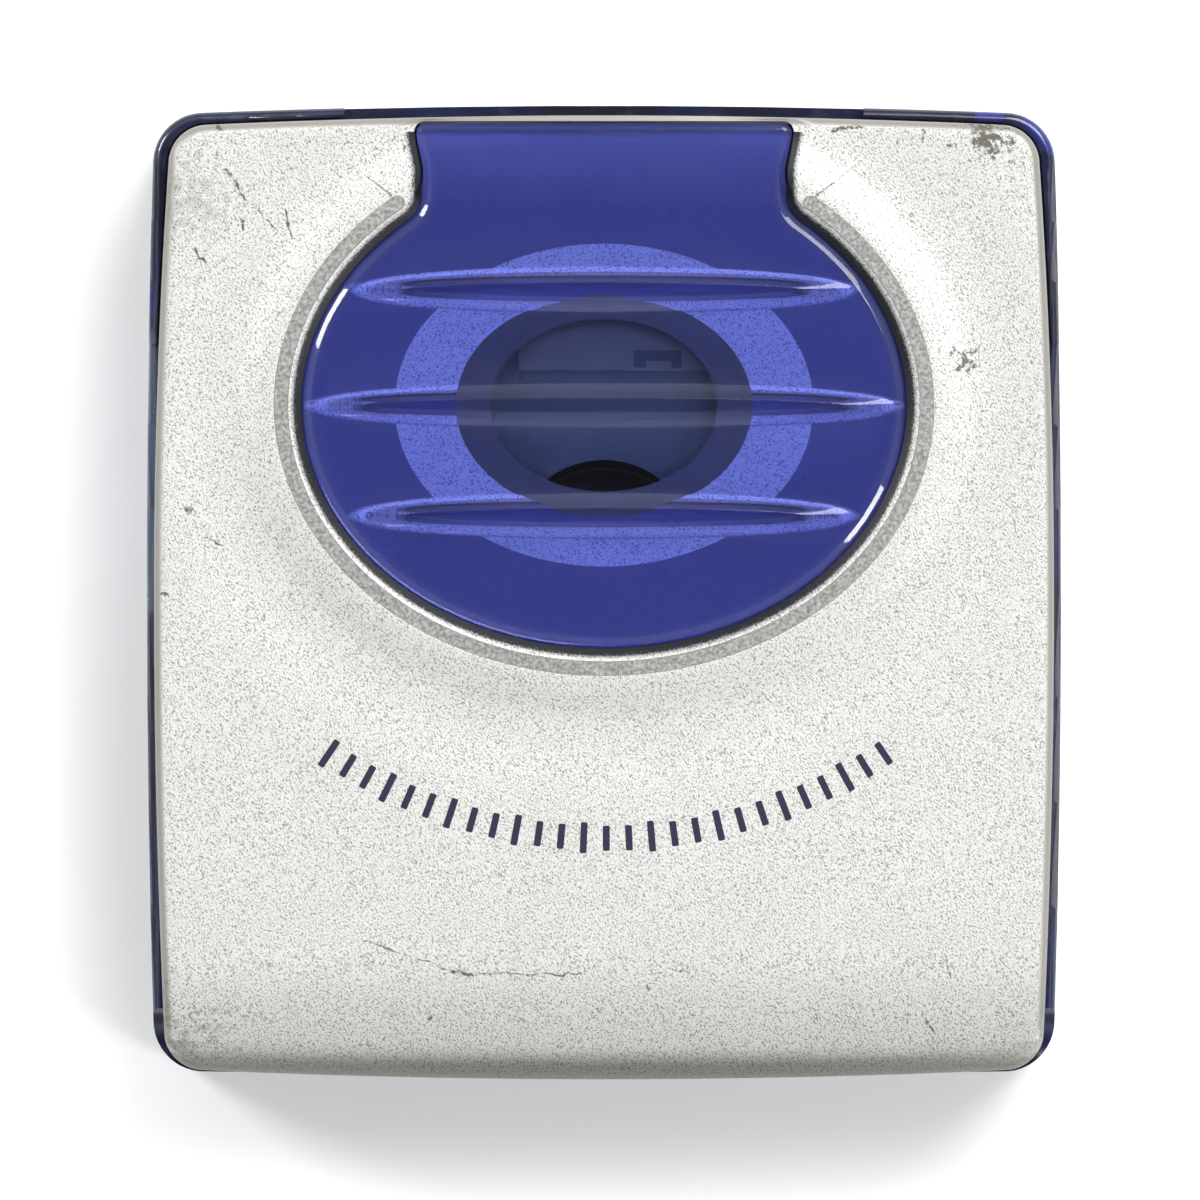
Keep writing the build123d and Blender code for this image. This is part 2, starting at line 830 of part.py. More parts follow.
# ---- cartridge holder -----------------------------------------------------------------------------


def holder_arms():
    """Arms from the holder's sheet back to the hinge pins."""
    arm = Pos(axis_y, axis_z) * Circle(ear_radius)
    sheet_back = cart_back - holder_back_gap
    arm += Pos((axis_y + sheet_back + 3) / 2, axis_z) * Rectangle(sheet_back + 3 - axis_y, 1.6)
    arm -= Pos(axis_y, axis_z) * Circle(pin_radius + shaft_play)
    x0 = arm_half - arm_sheet / 2
    return both_sides(side_profile(arm, x0, x0 + arm_sheet))


def cartridge_holder():
    """Top sheet with its hub hole, side rails, flanges under the cartridge, back stop and arms."""
    back = cart_back - holder_back_gap
    front = cart_front - 0.25
    body = block(-rail_half, rail_half, back, front, sheet_z, sheet_top)
    for side in (-1, 1):
        inner = side * (rail_half - rail_sheet)
        body += block(inner, side * rail_half, back, front, flange_z, sheet_top)
        inner = side * (rail_half - flange_width - rail_sheet)
        body += block(inner, side * rail_half, back, front, flange_z, flange_z + flange_sheet)
    stop_z = cart_z + back_stop_lift
    body += block(-back_stop_half, back_stop_half, back, back + back_stop_sheet, stop_z, sheet_top)
    for arm in holder_arms():
        body += arm
    body -= post(0, spindle_y, hub_hole, sheet_z, sheet_top)
    for x in (-spring_slot_x, spring_slot_x):
        slot = SlotOverall(spring_slot_length, spring_slot_width, rotation=90)
        slot = Pos(x, spindle_y - spring_slot_behind) * slot
        body -= slab(slot, sheet_z, sheet_top)
    return body


def holder_leaf():
    """The pressure leaf riveted on the holder's sheet, with its notched edge towards the spindle."""
    edge = spindle_y + leaf_edge
    z0, z1 = sheet_top, sheet_top + leaf_sheet
    leaf = block(-leaf_half, leaf_half, edge, cart_front - leaf_front_gap, z0, z1)
    for x0, x1 in (leaf_notch_left, leaf_notch_right):
        leaf -= block(x0, x1, edge, edge + leaf_notch, z0, z1)
    leaf += block(*leaf_tongue, edge - 0.05, edge + leaf_tongue_reach, z0, z1)
    return leaf + block(*leaf_notch_right, edge - 0.05, edge + 0.25, z0, z1)


def shutter_opener():
    """The small hook on the holder's rail that draws the cartridge's shutter open."""
    inner = rail_half - rail_sheet
    y0, y1 = (spindle_y - behind for behind in opener_behind)
    return block(inner - opener_sheet, inner, y0, y1, cart_z + 2, cart_z + 3)


# ---- latch and hold switch ------------------------------------------------------------------------


def slider_y():
    """The open slider's knob starts here, at its pushed end."""
    return -knob_length / 2 - latch_travel / 2


def open_slider():
    """The thumb knob in its recess and the stem through the wall."""
    y0 = slider_y()
    z0 = knob_mid_z - knob_height / 2
    knob = block(case_half - knob_depth + 0.1, case_half - 0.05, y0, y0 + knob_length, z0, z0 + knob_height)
    knob = fillet(knob.edges().filter_by(Axis.Z).sort_by(Axis.X)[-2:], 0.4)
    for n in range(3):
        y = y0 + knob_length / 2 + (n - 1) * 1.1
        knob -= block(case_half - 0.3, case_half, y - 0.2, y + 0.2, z0, z0 + knob_height)
    x0 = latch_x() + latch_sheet
    x1 = case_half - knob_depth + 0.11
    y1 = y0 + knob_length - stem_inset
    return knob + block(x0, x1, y0 + stem_inset, y1, knob_mid_z - 0.6, knob_mid_z + 0.6)


def latch_plate():
    """The sliding strip behind the wall, with the finger that goes over the hook's nose."""
    y0 = slider_y() + 0.5
    tip = spindle_y + hook_ahead - hook_width / 2 - air
    low = knob_mid_z - 1.6
    x0 = latch_x()
    plate = block(x0, x0 + latch_sheet, y0, tip - latch_travel, low, knob_mid_z + 1.2)
    return plate + block(x0, x0 + latch_sheet, y0, tip, knob_mid_z + 0.3, knob_mid_z + 1.2)


def hold_switch():
    """Knob, stem and inner plate of the hold switch."""
    half = hold_width / 2
    plate_y = mouth_y - case_wall - 0.7
    z0, z1 = key_mid_z - 0.6, key_mid_z + 0.6
    x0, x1 = hold_mid - half, hold_mid + half
    knob = block(x0, x1, mouth_y - 0.65, mouth_y - 0.15, key_z0 + 0.3, key_z1 - 0.3)
    knob &= slab(case_outline(0.05), 0, lid_top)
    knob += block(hold_mid - 0.7, hold_mid + 0.7, plate_y, mouth_y - 0.6, z0, z1)
    return knob + block(x0, x1, plate_y - 0.4, plate_y + 0.2, z0 - 0.6, z1 + 0.6)


# ---- keys -----------------------------------------------------------------------------------------


def key_in_band(x0, x1, y0, y1):
    """A cap the thickness of the wall with a lip behind it, cut from bands that follow the case."""
    bands = case_band(0.05, case_wall + 0.05, key_z0 + slip, key_z1 - slip)
    bands += case_band(case_wall + 0.05, key_lip_sheet, key_z0 - key_lip, key_z1 + key_lip)
    return bands & block(x0, x1, y0, y1, 0, lid_top)


def side_keys():
    """The four keys of the -X side, front to back."""
    names = ("key_stop", "key_skip_forward", "key_skip_back", "key_play")
    start = spindle_y + key_row_ahead - key_row_length / 2 + slip
    pitch = (key_row_length - 2 * slip + key_gap) / key_count
    keys = {}
    for n, name in enumerate(names[:key_count]):
        y0 = start + n * pitch
        keys[name] = key_in_band(-case_half - 1, -case_half + 4, y0, y0 + pitch - key_gap)
    return keys


def front_buttons():
    """Volume and bass buttons in the mouth-side wall."""
    return {
        name: key_in_band(x - width / 2 + slip, x + width / 2 - slip, mouth_y - 4, mouth_y + 1)
        for name, (x, width) in button_places().items()
    }


def key_back(y):
    """Where a side key's lip comes to when it is pressed, at y."""
    return wall_x(y) - key_in


def side_board():
    """The upright board behind the side keys and its switches."""
    mid = spindle_y + key_row_ahead
    half = key_row_length / 2
    face = -key_back(mid + half) + switch_depth
    board = block(face, face + board_thick, mid - half, mid + half, pcb_top, flange_z - 0.4)
    pitch = (key_row_length - 2 * slip + key_gap) / key_count
    start = mid - half + slip + (pitch - key_gap) / 2
    middles = [start + n * pitch for n in range(key_count)]
    z0, z1 = key_mid_z - switch_half_z, key_mid_z + switch_half_z
    switches = [block(face - switch_depth, face, y - switch_half, y + switch_half, z0, z1) for y in middles]
    return board, group(switches)


def front_board():
    """The upright board behind the mouth-side buttons, its switches and the hold contact block."""
    face = mouth_y - case_front_bow * 0.2 - key_in - switch_depth
    left = min(x - w / 2 for x, w in button_places().values()) - 1
    board = block(left, hold_mid + hold_block_right, face - board_thick, face, pcb_top, flange_z - 0.4)
    z0, z1 = key_mid_z - switch_half_z, key_mid_z + switch_half_z
    middles = [x for x, width in button_places().values()]
    switches = [block(x - switch_half, x + switch_half, face, face + switch_depth, z0, z1) for x in middles]
    hold_face = mouth_y - case_wall - 0.7 - 0.4 - 0.1
    hold_x0, hold_x1 = hold_mid - hold_block_left, hold_mid + hold_block_right
    switches.append(block(hold_x0, hold_x1, face, hold_face, z0 - 0.2, z1 + 0.2))
    return board, group(switches)


# ---- battery --------------------------------------------------------------------------------------


def battery_cell():
    """A flat rechargeable cell with rounded long edges."""
    body = block(cell_left, cell_right, cell_back, cell_front, cell_z, cell_z + cell_thick)
    return fillet(body.edges().filter_by(Axis.X), 0.8)


def battery_contacts():
    """A sprung strip on the bay's end wall."""
    x1 = cell_right + cell_end_space
    mid_y = (cell_back + cell_front) / 2
    plate = block(x1 - 0.25, x1, mid_y - 5, mid_y + 5, cell_z + 1, cell_z + cell_thick - 1)
    bow = block(cell_right + 0.05, x1 - 0.24, mid_y - 1.5, mid_y + 1.5, cell_z + 2, cell_z + cell_thick - 2)
    return plate + fillet(bow.edges().filter_by(Axis.Z).sort_by(Axis.X)[:2], 0.3)


def battery_door():
    """The door: a slice of the case wall on a round knuckle."""
    x, y = door_axis()
    z0 = case_z + slip
    z1 = roof_z
    band = case_band(0, case_wall, z0, z1) & block(-case_half - 1, 0, cell_back, y, z0, z1)
    door = band + post(x, y, case_wall / 2, z0, z1)
    return door - post(x, y, door_pin + shaft_play, z0, z1)


def battery_door_pin():
    """The pin between the bottom cover's rim and the wall over the door."""
    x, y = door_axis()
    return post(x, y, door_pin, case_z, roof_top + 0.6)


def door_contact():
    """The plated strip inside the door."""
    mid_y = (cell_back + cell_front) / 2
    x0 = -(wall_x(mid_y - 2) - case_wall) + 0.03
    return block(x0, cell_left - 0.1, mid_y - 2, mid_y + 2, cell_z + 1.5, cell_z + cell_thick - 1.5)


# ---- boards and jacks -----------------------------------------------------------------------------


def main_board():
    """The main circuit board on the bottom cover's standoffs."""
    board = slab(case_outline(case_wall + pcb_margin), pcb_z, pcb_top)
    board &= block(-case_half, case_half, bay_front + bay_wall + 0.3, mouth_y, pcb_z, pcb_top)
    for x, y in screw_places:
        board -= post(x, y, boss_radius + 0.3, pcb_z, pcb_top)
        side = 1 if x > 0 else -1
        board -= block(x, side * case_half, y - 0.9, y + 0.9, pcb_z, pcb_top)
    for x, y in grommet_places:
        board -= post(x, y, post_radius + 0.3, pcb_z, pcb_top)
    return board


def board_chips():
    """The larger chips on the main board."""
    chips = []
    for (x, y), (width, depth) in chip_places.items():
        chip = Pos(x, y, pcb_top + chip_thick / 2) * Box(width, depth, chip_thick)
        chips.append(chip)
    return group(chips)


def jack(y, depth, width, bore):
    """A jack body with a round collar flush with the case."""
    face = wall_x(y) - 0.1
    z = jack_z()
    shoulder = face - case_wall - 0.5
    body = block(face - depth, shoulder, y - width / 2, y + width / 2, z - jack_size / 2, z + jack_size / 2)
    body += rod(shoulder - 0.01, face, y, z, jack_size / 2 - 0.05)
    return body - rod(face - depth + 0.8, face + 1, y, z, bore)


def headphone_jack():
    """The 3.5 mm headphone jack."""
    return jack(spindle_y + jack_ahead, jack_depth, jack_size, jack_bore)


def dc_jack():
    """The supply jack with its centre pin."""
    y = spindle_y + dc_ahead
    body = jack(y, dc_depth, dc_size, dc_bore)
    face = wall_x(y) - 0.1
    return body + rod(face - dc_depth + 0.7, face - 1.5, y, jack_z(), 0.5)


# ---- drive ----------------------------------------------------------------------------------------


def drive_chassis():
    """The sheet that carries spindle and pickup, with tabs bent up to hold rods and screw."""
    y0 = spindle_y - chassis_back
    y1 = spindle_y + chassis_front
    low, top = chassis_top - 0.01, rod_z + tab_rise
    sheet = chassis_z, chassis_top
    body = block(-chassis_left, chassis_right, y0, y1, *sheet)
    body -= block(tab_left + tab_sheet, -motor_base - 0.6, spindle_y - 10.2, spindle_y + 8.2, *sheet)
    body -= block(gear_x - 0.15, gear_x + gear_width + 0.35, feed_y - 3.1, motor_y + 2.4, *sheet)
    motor_end = tab_right - motor_length - 0.2
    body -= block(motor_end, tab_right, motor_y - motor_radius, motor_y + motor_radius, *sheet)
    for y, radius in (
        (spindle_y - rod_behind, rod_radius),
        (spindle_y + sub_rod_ahead, sub_rod_radius),
    ):
        for x0 in (tab_left, tab_right):
            body += block(x0, x0 + tab_sheet, y - rod_tab_half, y + rod_tab_half, low, top)
            body -= rod(x0 - 1, x0 + 2, y, rod_z, radius)
    for x0 in (tab_left, gear_x + gear_width + 0.5):
        body += block(x0, x0 + tab_sheet, feed_y - feed_tab_half, feed_y + feed_tab_half, low, top)
        body -= rod(x0 - 1, x0 + 2, feed_y, rod_z, feed_journal + shaft_play)
    tab_back, tab_front = motor_y - 2.2, motor_y + motor_radius + 0.4
    body += block(tab_right, tab_right + chassis_sheet, tab_back, tab_front, low, top)
    body -= rod(tab_right - 1, tab_right + 2, motor_y, rod_z, motor_shaft + 0.3)
    for x, y in grommet_places:
        body -= post(x, y, grommet_waist, chassis_z, chassis_top)
    return body


def damper_grommets():
    """Rubber grommets between the posts and the chassis."""
    rest = (grommet_height - chassis_sheet) / 2
    grommets = []
    for x, y in grommet_places:
        body = post(x, y, grommet_radius, chassis_z - rest, chassis_z)
        body += post(x, y, grommet_waist, chassis_z - 0.01, chassis_top + 0.01)
        body += post(x, y, grommet_radius, chassis_top, chassis_top + rest)
        grommets.append(body - post(x, y, post_radius, 0, lid_top))
    return group(grommets)


def spindle_stator():
    """The spindle motor's base, bearing tube and wound poles."""
    base_top = chassis_top + 0.6
    core_z = base_top + 0.5
    body = post(0, spindle_y, motor_base, chassis_top, base_top)
    body += post(0, spindle_y, 1.7, base_top - 0.01, core_z + 1.4)
    body += post(0, spindle_y, 2.4, core_z, core_z + 0.9)
    reach = rotor_radius - rotor_wall
    pole = block(2.0, reach - 0.9, -0.45, 0.45, core_z, core_z + 0.9)
    pole += block(reach - 1.1, reach - 0.6, -1.2, 1.2, core_z, core_z + 0.9)
    for n in range(pole_count):
        body += Pos(0, spindle_y, 0) * Rot(0, 0, 360 * n / pole_count) * pole
    return body - post(0, spindle_y, shaft_radius + shaft_play, chassis_top, lid_top)


def spindle_rotor():
    """The cup that turns round the poles, on its shaft."""
    z0 = chassis_top + 0.6 + 0.3
    z1 = cart_z - table_drop
    body = post(0, spindle_y, rotor_radius, z0, z1)
    body -= post(0, spindle_y, rotor_radius - rotor_wall, 0, z1 - 0.5)
    return body + post(0, spindle_y, shaft_radius, chassis_top + 0.1, z1)


def magnet_ring(z0, z1):
    """The ring that the magnet fills and its groove leaves free."""
    ring = post(0, spindle_y, table_radius - 0.5, z0, z1)
    return ring - post(0, spindle_y, table_boss + 0.5, z0, z1)


def turntable():
    """The turntable with the tapered boss that centres the disc's hub."""
    z0 = cart_z - table_drop
    table = post(0, spindle_y, table_radius, z0, z0 + table_thick)
    boss = Pos(0, spindle_y, z0 + table_thick + table_boss_height / 2)
    table += boss * Cone(table_boss, table_boss * 0.75, table_boss_height)
    return table - magnet_ring(z0 + table_thick - magnet_sink, lid_top)


def chuck_magnet():
    """The ring magnet let into the turntable."""
    z0 = cart_z - table_drop + table_thick - magnet_sink
    return magnet_ring(z0, z0 + magnet_sink - 0.05)


def guide_rods():
    """The main and the sub rod that the pickup runs on."""
    x0, x1 = tab_left, tab_right + tab_sheet
    return group(
        [
            rod(x0, x1, spindle_y - rod_behind, rod_z, rod_radius),
            rod(x0, x1, spindle_y + sub_rod_ahead, rod_z, sub_rod_radius),
        ]
    )


def alignment_pins():
    """Two stepped pins that the cartridge's location holes drop on, and two rests."""
    shoulder = cart_z - 0.1
    pins = [post(x, y, rest_radius, chassis_top, shoulder) for x, y in rest_places]
    for y in (spindle_y - collar_behind, spindle_y + collar_ahead):
        tip = post(collar_x, y, locate_radius, shoulder - 0.01, cart_z + locate_rise)
        pins.append(post(collar_x, y, collar_radius, chassis_top, shoulder) + tip)
    return group(pins)


def detect_switches():
    """Two small switches that feel the cartridge's tabs."""
    switches = []
    for y in (spindle_y - detect_behind, spindle_y + detect_ahead):
        x0, x1 = detect_x - detect_half, detect_x + detect_half
        half = detect_length / 2
        body = block(x0, x1, y - half, y + half, chassis_top, chassis_top + 3.0)
        switches.append(body + post(detect_x, y, 0.5, chassis_top + 2.99, cart_z - 0.15))
    return group(switches)


def feed_motor():
    """The flat-sided can motor that drives the feed screw."""
    x1 = tab_right
    x0 = x1 - motor_length
    can = rod(x0, x1, motor_y, rod_z, motor_radius)
    can &= block(x0, x1, motor_y - 5, motor_y + 5, rod_z - motor_flat, rod_z + motor_flat)
    return can - rod(x1 - 5, x1 + 1, motor_y, rod_z, motor_shaft + 0.06)


def gear_outline(teeth, turn):
    """Involute teeth with a stub height and some backlash."""
    pitch = gear_module * teeth / 2
    pressure = radians(20)
    base = pitch * cos(pressure)
    root = pitch - 1.15 * gear_module
    tip = pitch + 0.8 * gear_module
    half = pi / (2 * teeth) - backlash / (2 * pitch) + tan(pressure) - pressure
    start = max(base, root)
    radii = [start + (tip - start) * n / 3 for n in range(4)]

    def lean(radius):
        angle = acos(min(1, base / radius))
        return half - (tan(angle) - angle)

    points = []
    for n in range(teeth):
        middle = 2 * pi * n / teeth + radians(turn)
        flank = [(root, -lean(start))] + [(r, -lean(r)) for r in radii]
        for radius, angle in flank + [(r, -a) for r, a in reversed(flank)]:
            points.append((radius * cos(middle + angle), radius * sin(middle + angle)))
    if start == root:
        points = [p for i, p in enumerate(points) if (Vector(*p) - Vector(*points[i - 1])).length > 1e-6]
    return make_face(Polyline(*points, close=True))


def gear(teeth, y, turn, bore):
    """A gear on an axis along X."""
    face = Pos(y, rod_z) * (gear_outline(teeth, turn) - Circle(bore))
    return side_profile(face, gear_x, gear_x + gear_width)


def feed_pinion():
    """The motor's shaft with its pinion."""
    shaft = rod(tab_right - 4.5, gear_x + gear_width + 0.3, motor_y, rod_z, motor_shaft)
    return shaft + gear(pinion_teeth, motor_y, 180 / pinion_teeth, motor_shaft - 0.1)


def feed_gear():
    """The wheel on the feed screw."""
    return gear(wheel_teeth, feed_y, 0, feed_journal)


def feed_screw():
    """The feed screw with a journal at each end."""
    x0 = tab_left
    x1 = gear_x + gear_width + 0.5 + tab_sheet
    body = rod(x0, x1, feed_y, rod_z, feed_journal)
    return body + rod(x0 + tab_sheet + slip, gear_x - 0.05, feed_y, rod_z, feed_radius)


def pickup_sled():
    """The pickup's carriage: bush on the main rod, fork on the sub rod, well for the objective."""
    x0 = -lens_inner - sled_out
    x1 = -lens_inner + sled_in
    z0 = chassis_top + 0.2
    z1 = z0 + sled_thick
    rod_y = spindle_y - rod_behind
    sub_y = spindle_y + sub_rod_ahead
    body = block(x0, x1, rod_y + 2.2, sub_y - 1.9, z0, z1)
    body += block(x0 + 1, x1 - 1, rod_y - 1.8, rod_y + 2.3, z0, z1 + 0.1)
    body += block(x0 + 3, x1 - 3, sub_y - 2.0, sub_y + 1.7, z0, z1 + 0.1)
    body += block(x0 + 3, x1 - 3, spindle_y - 4, spindle_y + 4, chassis_z - 0.4, z0 + 0.01)
    body -= rod(x0 - 1, x1 + 1, rod_y, rod_z, rod_radius + shaft_play)
    body -= rod(x0 - 1, x1 + 1, sub_y, rod_z, sub_rod_radius + shaft_play)
    body -= block(x0 + 0.9, -lens_inner + 4.6, spindle_y - 4.2, spindle_y + 4.2, z0 + 0.6, z1 + 1)
    return fillet(body.edges().filter_by(Axis.Z).group_by(Axis.Y)[-1], 0.5)


def feed_nut():
    """The nut that hangs the carriage on the feed screw."""
    x0 = -lens_inner - 1
    sub_y = spindle_y + sub_rod_ahead
    body = block(x0, x0 + 4, sub_y + 1.7, feed_y + 1.55, rod_z - 1.3, rod_z + 1.5)
    return body - rod(x0 - 1, x0 + 5, feed_y, rod_z, feed_radius + shaft_play)


def lens_actuator():
    """The objective's carrier, free to move up and down in the well."""
    z0 = chassis_top + 0.2 + 0.6 + focus_travel + 0.15
    body = block(-lens_inner - 2.4, -lens_inner + 4.0, spindle_y - 3.6, spindle_y + 3.6, z0, z0 + 1.6)
    body = fillet(body.edges().filter_by(Axis.Z), 0.6)
    body += post(-lens_inner, spindle_y, objective_radius + 0.5, z0 + 1.59, z0 + 1.9)
    return body - post(-lens_inner, spindle_y, objective_radius, z0 + 0.8, lid_top)


def objective_lens():
    """The small glass objective: a drum with a domed top."""
    z0 = chassis_top + 0.2 + 0.6 + focus_travel + 0.15 + 0.8
    dome = Pos(-lens_inner, spindle_y, z0 + 1.1 - 2.6) * Sphere(3.1)
    drum = post(-lens_inner, spindle_y, objective_radius - 0.02, z0, z0 + 3)
    return drum & dome


# ---- everything, each node to its own file ---------------------------------------------------------


def player():
    """All the nodes by name."""
    dark, bright, tinted = window_films()
    side, side_switches = side_board()
    front, front_switches = front_board()
    return {
        "lid_shell": lid_shell(),
        "window_lens": window_lens(),
        "window_film_dark": dark,
        "window_film_bright": bright,
        "window_film_tinted": tinted,
        "lid_inner_frame": lid_inner_frame(),
        "lid_screws": lid_screws(),
        "lid_hook": lid_hook(),
        "mid_frame": mid_frame(),
        "bottom_cover": bottom_cover(),
        "feet": feet(),
        "case_screws": case_screws(),
        "hinge_brackets": hinge_brackets(),
        "hinge_pins": hinge_pins(),
        "cartridge_holder": cartridge_holder(),
        "holder_leaf": holder_leaf(),
        "shutter_opener": shutter_opener(),
        "open_slider": open_slider(),
        "latch_plate": latch_plate(),
        "hold_switch": hold_switch(),
        **side_keys(),
        **front_buttons(),
        "side_board": side,
        "side_switches": side_switches,
        "front_board": front,
        "front_switches": front_switches,
        "battery_cell": battery_cell(),
        "battery_contacts": battery_contacts(),
        "battery_door": battery_door(),
        "battery_door_pin": battery_door_pin(),
        "door_contact": door_contact(),
        "main_board": main_board(),
        "board_chips": board_chips(),
        "headphone_jack": headphone_jack(),
        "dc_jack": dc_jack(),
        "drive_chassis": drive_chassis(),
        "damper_grommets": damper_grommets(),
        "spindle_stator": spindle_stator(),
        "spindle_rotor": spindle_rotor(),
        "turntable": turntable(),
        "chuck_magnet": chuck_magnet(),
        "guide_rods": guide_rods(),
        "alignment_pins": alignment_pins(),
        "detect_switches": detect_switches(),
        "feed_motor": feed_motor(),
        "feed_pinion": feed_pinion(),
        "feed_gear": feed_gear(),
        "feed_screw": feed_screw(),
        "pickup_sled": pickup_sled(),
        "feed_nut": feed_nut(),
        "lens_actuator": lens_actuator(),
        "objective_lens": objective_lens(),
    }


os.makedirs("parts", exist_ok=True)
for name, shape in player().items():
    export_step(shape, f"parts/{name}.step")
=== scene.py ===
# %% [markdown]
# # A portable minidisc player, seen from above
# The player is a flat hand-held box: a pressed metal lid with a grainy silver paint, an oval window
# moulded in clear blue plastic, and a case of smoky blue plastic under it. The solid model gives every
# piece and every hinge. This script gives them their skins: it keeps the hidden pieces as they are,
# builds the lid and the window again with softer edges, and mixes a finish for each real material.

# %% Load the solid model as the frame
import json
from math import atan2, cos, pi, radians, sin, sqrt

import bmesh
import bpy
import numpy as np
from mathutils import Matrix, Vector
from mathutils.kdtree import KDTree


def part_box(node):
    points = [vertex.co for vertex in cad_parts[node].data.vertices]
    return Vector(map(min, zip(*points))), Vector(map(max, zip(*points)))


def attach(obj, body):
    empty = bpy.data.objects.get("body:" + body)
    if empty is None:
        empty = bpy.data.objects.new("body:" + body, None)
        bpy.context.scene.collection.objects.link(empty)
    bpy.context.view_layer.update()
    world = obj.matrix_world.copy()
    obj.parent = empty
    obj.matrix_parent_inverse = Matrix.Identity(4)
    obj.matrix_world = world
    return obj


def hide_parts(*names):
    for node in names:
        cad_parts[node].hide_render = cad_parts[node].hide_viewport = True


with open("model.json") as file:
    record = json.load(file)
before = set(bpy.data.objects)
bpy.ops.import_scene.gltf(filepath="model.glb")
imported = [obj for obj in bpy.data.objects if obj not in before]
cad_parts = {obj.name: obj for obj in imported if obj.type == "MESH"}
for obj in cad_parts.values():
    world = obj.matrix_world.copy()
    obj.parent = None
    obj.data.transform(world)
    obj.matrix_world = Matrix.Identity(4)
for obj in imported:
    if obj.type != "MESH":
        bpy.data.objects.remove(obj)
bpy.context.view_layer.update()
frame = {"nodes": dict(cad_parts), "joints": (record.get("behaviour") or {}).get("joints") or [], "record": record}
MM = 0.001
print("pieces in the frame:", len(frame["nodes"]))

# %% [markdown]
# ## Small tools
# Colours are picked as the hex values a painter's app shows, and shaders want linear light, so one
# function turns one into the other. A material is a little graph. One function adds a node to it, with
# the node's own settings as keywords and what goes into its sockets as a dictionary: a number, a colour,
# or another node's output, which becomes a link. Three things help to read the graphs: a noise's scale
# is 1 over a size in millimetres, a mix has its share in socket 0 and its two colours in 6 and 7, and a
# map range turns what lies between sockets 1 and 2 into what lies between 3 and 4.


# %% Colours and nodes
def linear(hex_colour):
    """An sRGB hex colour as linear red, green, blue and alpha."""
    parts = [int(hex_colour[i : i + 2], 16) / 255 for i in (1, 3, 5)]
    return [c / 12.92 if c <= 0.04045 else ((c + 0.055) / 1.055) ** 2.4 for c in parts] + [1.0]


def add(tree, kind, inputs=None, **settings):
    """Adds one shader node with its settings, and fills or links its inputs."""
    made = tree.nodes.new("ShaderNode" + kind)
    for name, value in settings.items():
        setattr(made, name, value)
    for name, value in (inputs or {}).items():
        if isinstance(value, bpy.types.NodeSocket):
            tree.links.new(value, made.inputs[name])
        else:
            made.inputs[name].default_value = value
    return made


def finish(name, **sockets):
    """A new material, its tree, its Principled shader, and a socket with each place in mm."""
    material = bpy.data.materials.new(name)
    material.use_nodes = True
    tree = material.node_tree
    tree.nodes.clear()
    shader = add(tree, "BsdfPrincipled", sockets)
    add(tree, "OutputMaterial", {"Surface": shader.outputs[0]})
    here = add(tree, "TexCoord").outputs["Object"]
    place = add(tree, "VectorMath", {0: here, 1: (1 / MM,) * 3}, operation="MULTIPLY").outputs[0]
    return material, tree, shader, place


print("mid grey is", [round(c, 3) for c in linear("#808080")])

# %% [markdown]
# ## The silver paint of the lid
# The lid is pressed aluminium, sprayed with a textured silver lacquer: aluminium flakes in a clear binder
# that dries with a fine orange-peel wrinkle, and the eye reads it as sand. The real grain is finer than a
# pixel, so it is drawn 0.155 mm wide, as coarse as it has to be to show. A half-metallic shader gives the
# soft gloss, and one noise gives both the wrinkle and the dark gaps between the flakes.
# A used lid also carries its history. A scuff is a line where the lacquer is rubbed dark: everything
# nearer than its width to a line between two places, which a noise bends and breaks. A stain is a blotch
# that thins out round a place. Three tones follow the lid's shape, so the mesh carries them: painted shade
# on the slope down to the window, painted shade towards the hinge and over its roll, and a smoother rim
# whose darker colour is painted shade too.

# %% Silver lacquer
WRINKLE = 0.155
WRINKLE_STRETCH = (1.25, 0.75, 1.0)
WRINKLE_TURN = radians(-50)
WANDER = 0.9
# Each scuff has a start, an end and a width, all in mm.
SCUFFS = (
    ((-20.9, -30.4), (-12.6, -33.3), 0.11),
    ((-13.4, -33.1), (-11.8, -33.4), 0.20),
    ((-12.6, -33.3), (-2.1, -33.4), 0.09),
    ((-32.9, 36.9), (-31.3, 34.2), 0.20),
    ((-30.6, 33.6), (-28.6, 31.6), 0.10),
    ((-31.6, 32.4), (-31.5, 31.6), 0.22),
    ((-27.9, 33.4), (-27.2, 30.7), 0.14),
    ((-35.7, 29.9), (-34.8, 28.8), 0.18),
    ((-17.6, 39.4), (-17.3, 38.3), 0.16),
    ((-21.6, 40.7), (-21.2, 40.6), 0.20),
    ((-33.8, 40.6), (-33.4, 40.5), 0.22),
    ((19.8, 40.3), (22.6, 40.7), 0.16),
    ((27.8, 40.4), (27.9, 39.3), 0.14),
    ((30.1, 38.9), (30.3, 38.9), 0.22),
    ((-36.5, 7.3), (-36.2, 7.1), 0.30),
    ((-38.6, -0.2), (-38.0, -0.2), 0.14),
    ((-34.9, 4.8), (-33.4, 4.0), 0.10),
    ((-15.2, -37.2), (-15.1, -37.2), 0.24),
    ((6.8, -33.1), (6.9, -33.0), 0.20),
    ((3.8, -34.4), (3.9, -34.5), 0.20),
    ((28.2, -37.5), (28.9, -38.6), 0.16),
    ((29.9, -32.2), (30.2, -33.4), 0.12),
)
# Each stain has a place, a reach in mm and a strength.
STAINS = (
    (-39.5, -41.0, 11.0, 0.42),
    (33.6, 39.6, 3.8, 0.95),
    (31.3, 20.4, 2.2, 0.95),
    (-36.0, 34.0, 7.0, 0.25),
)


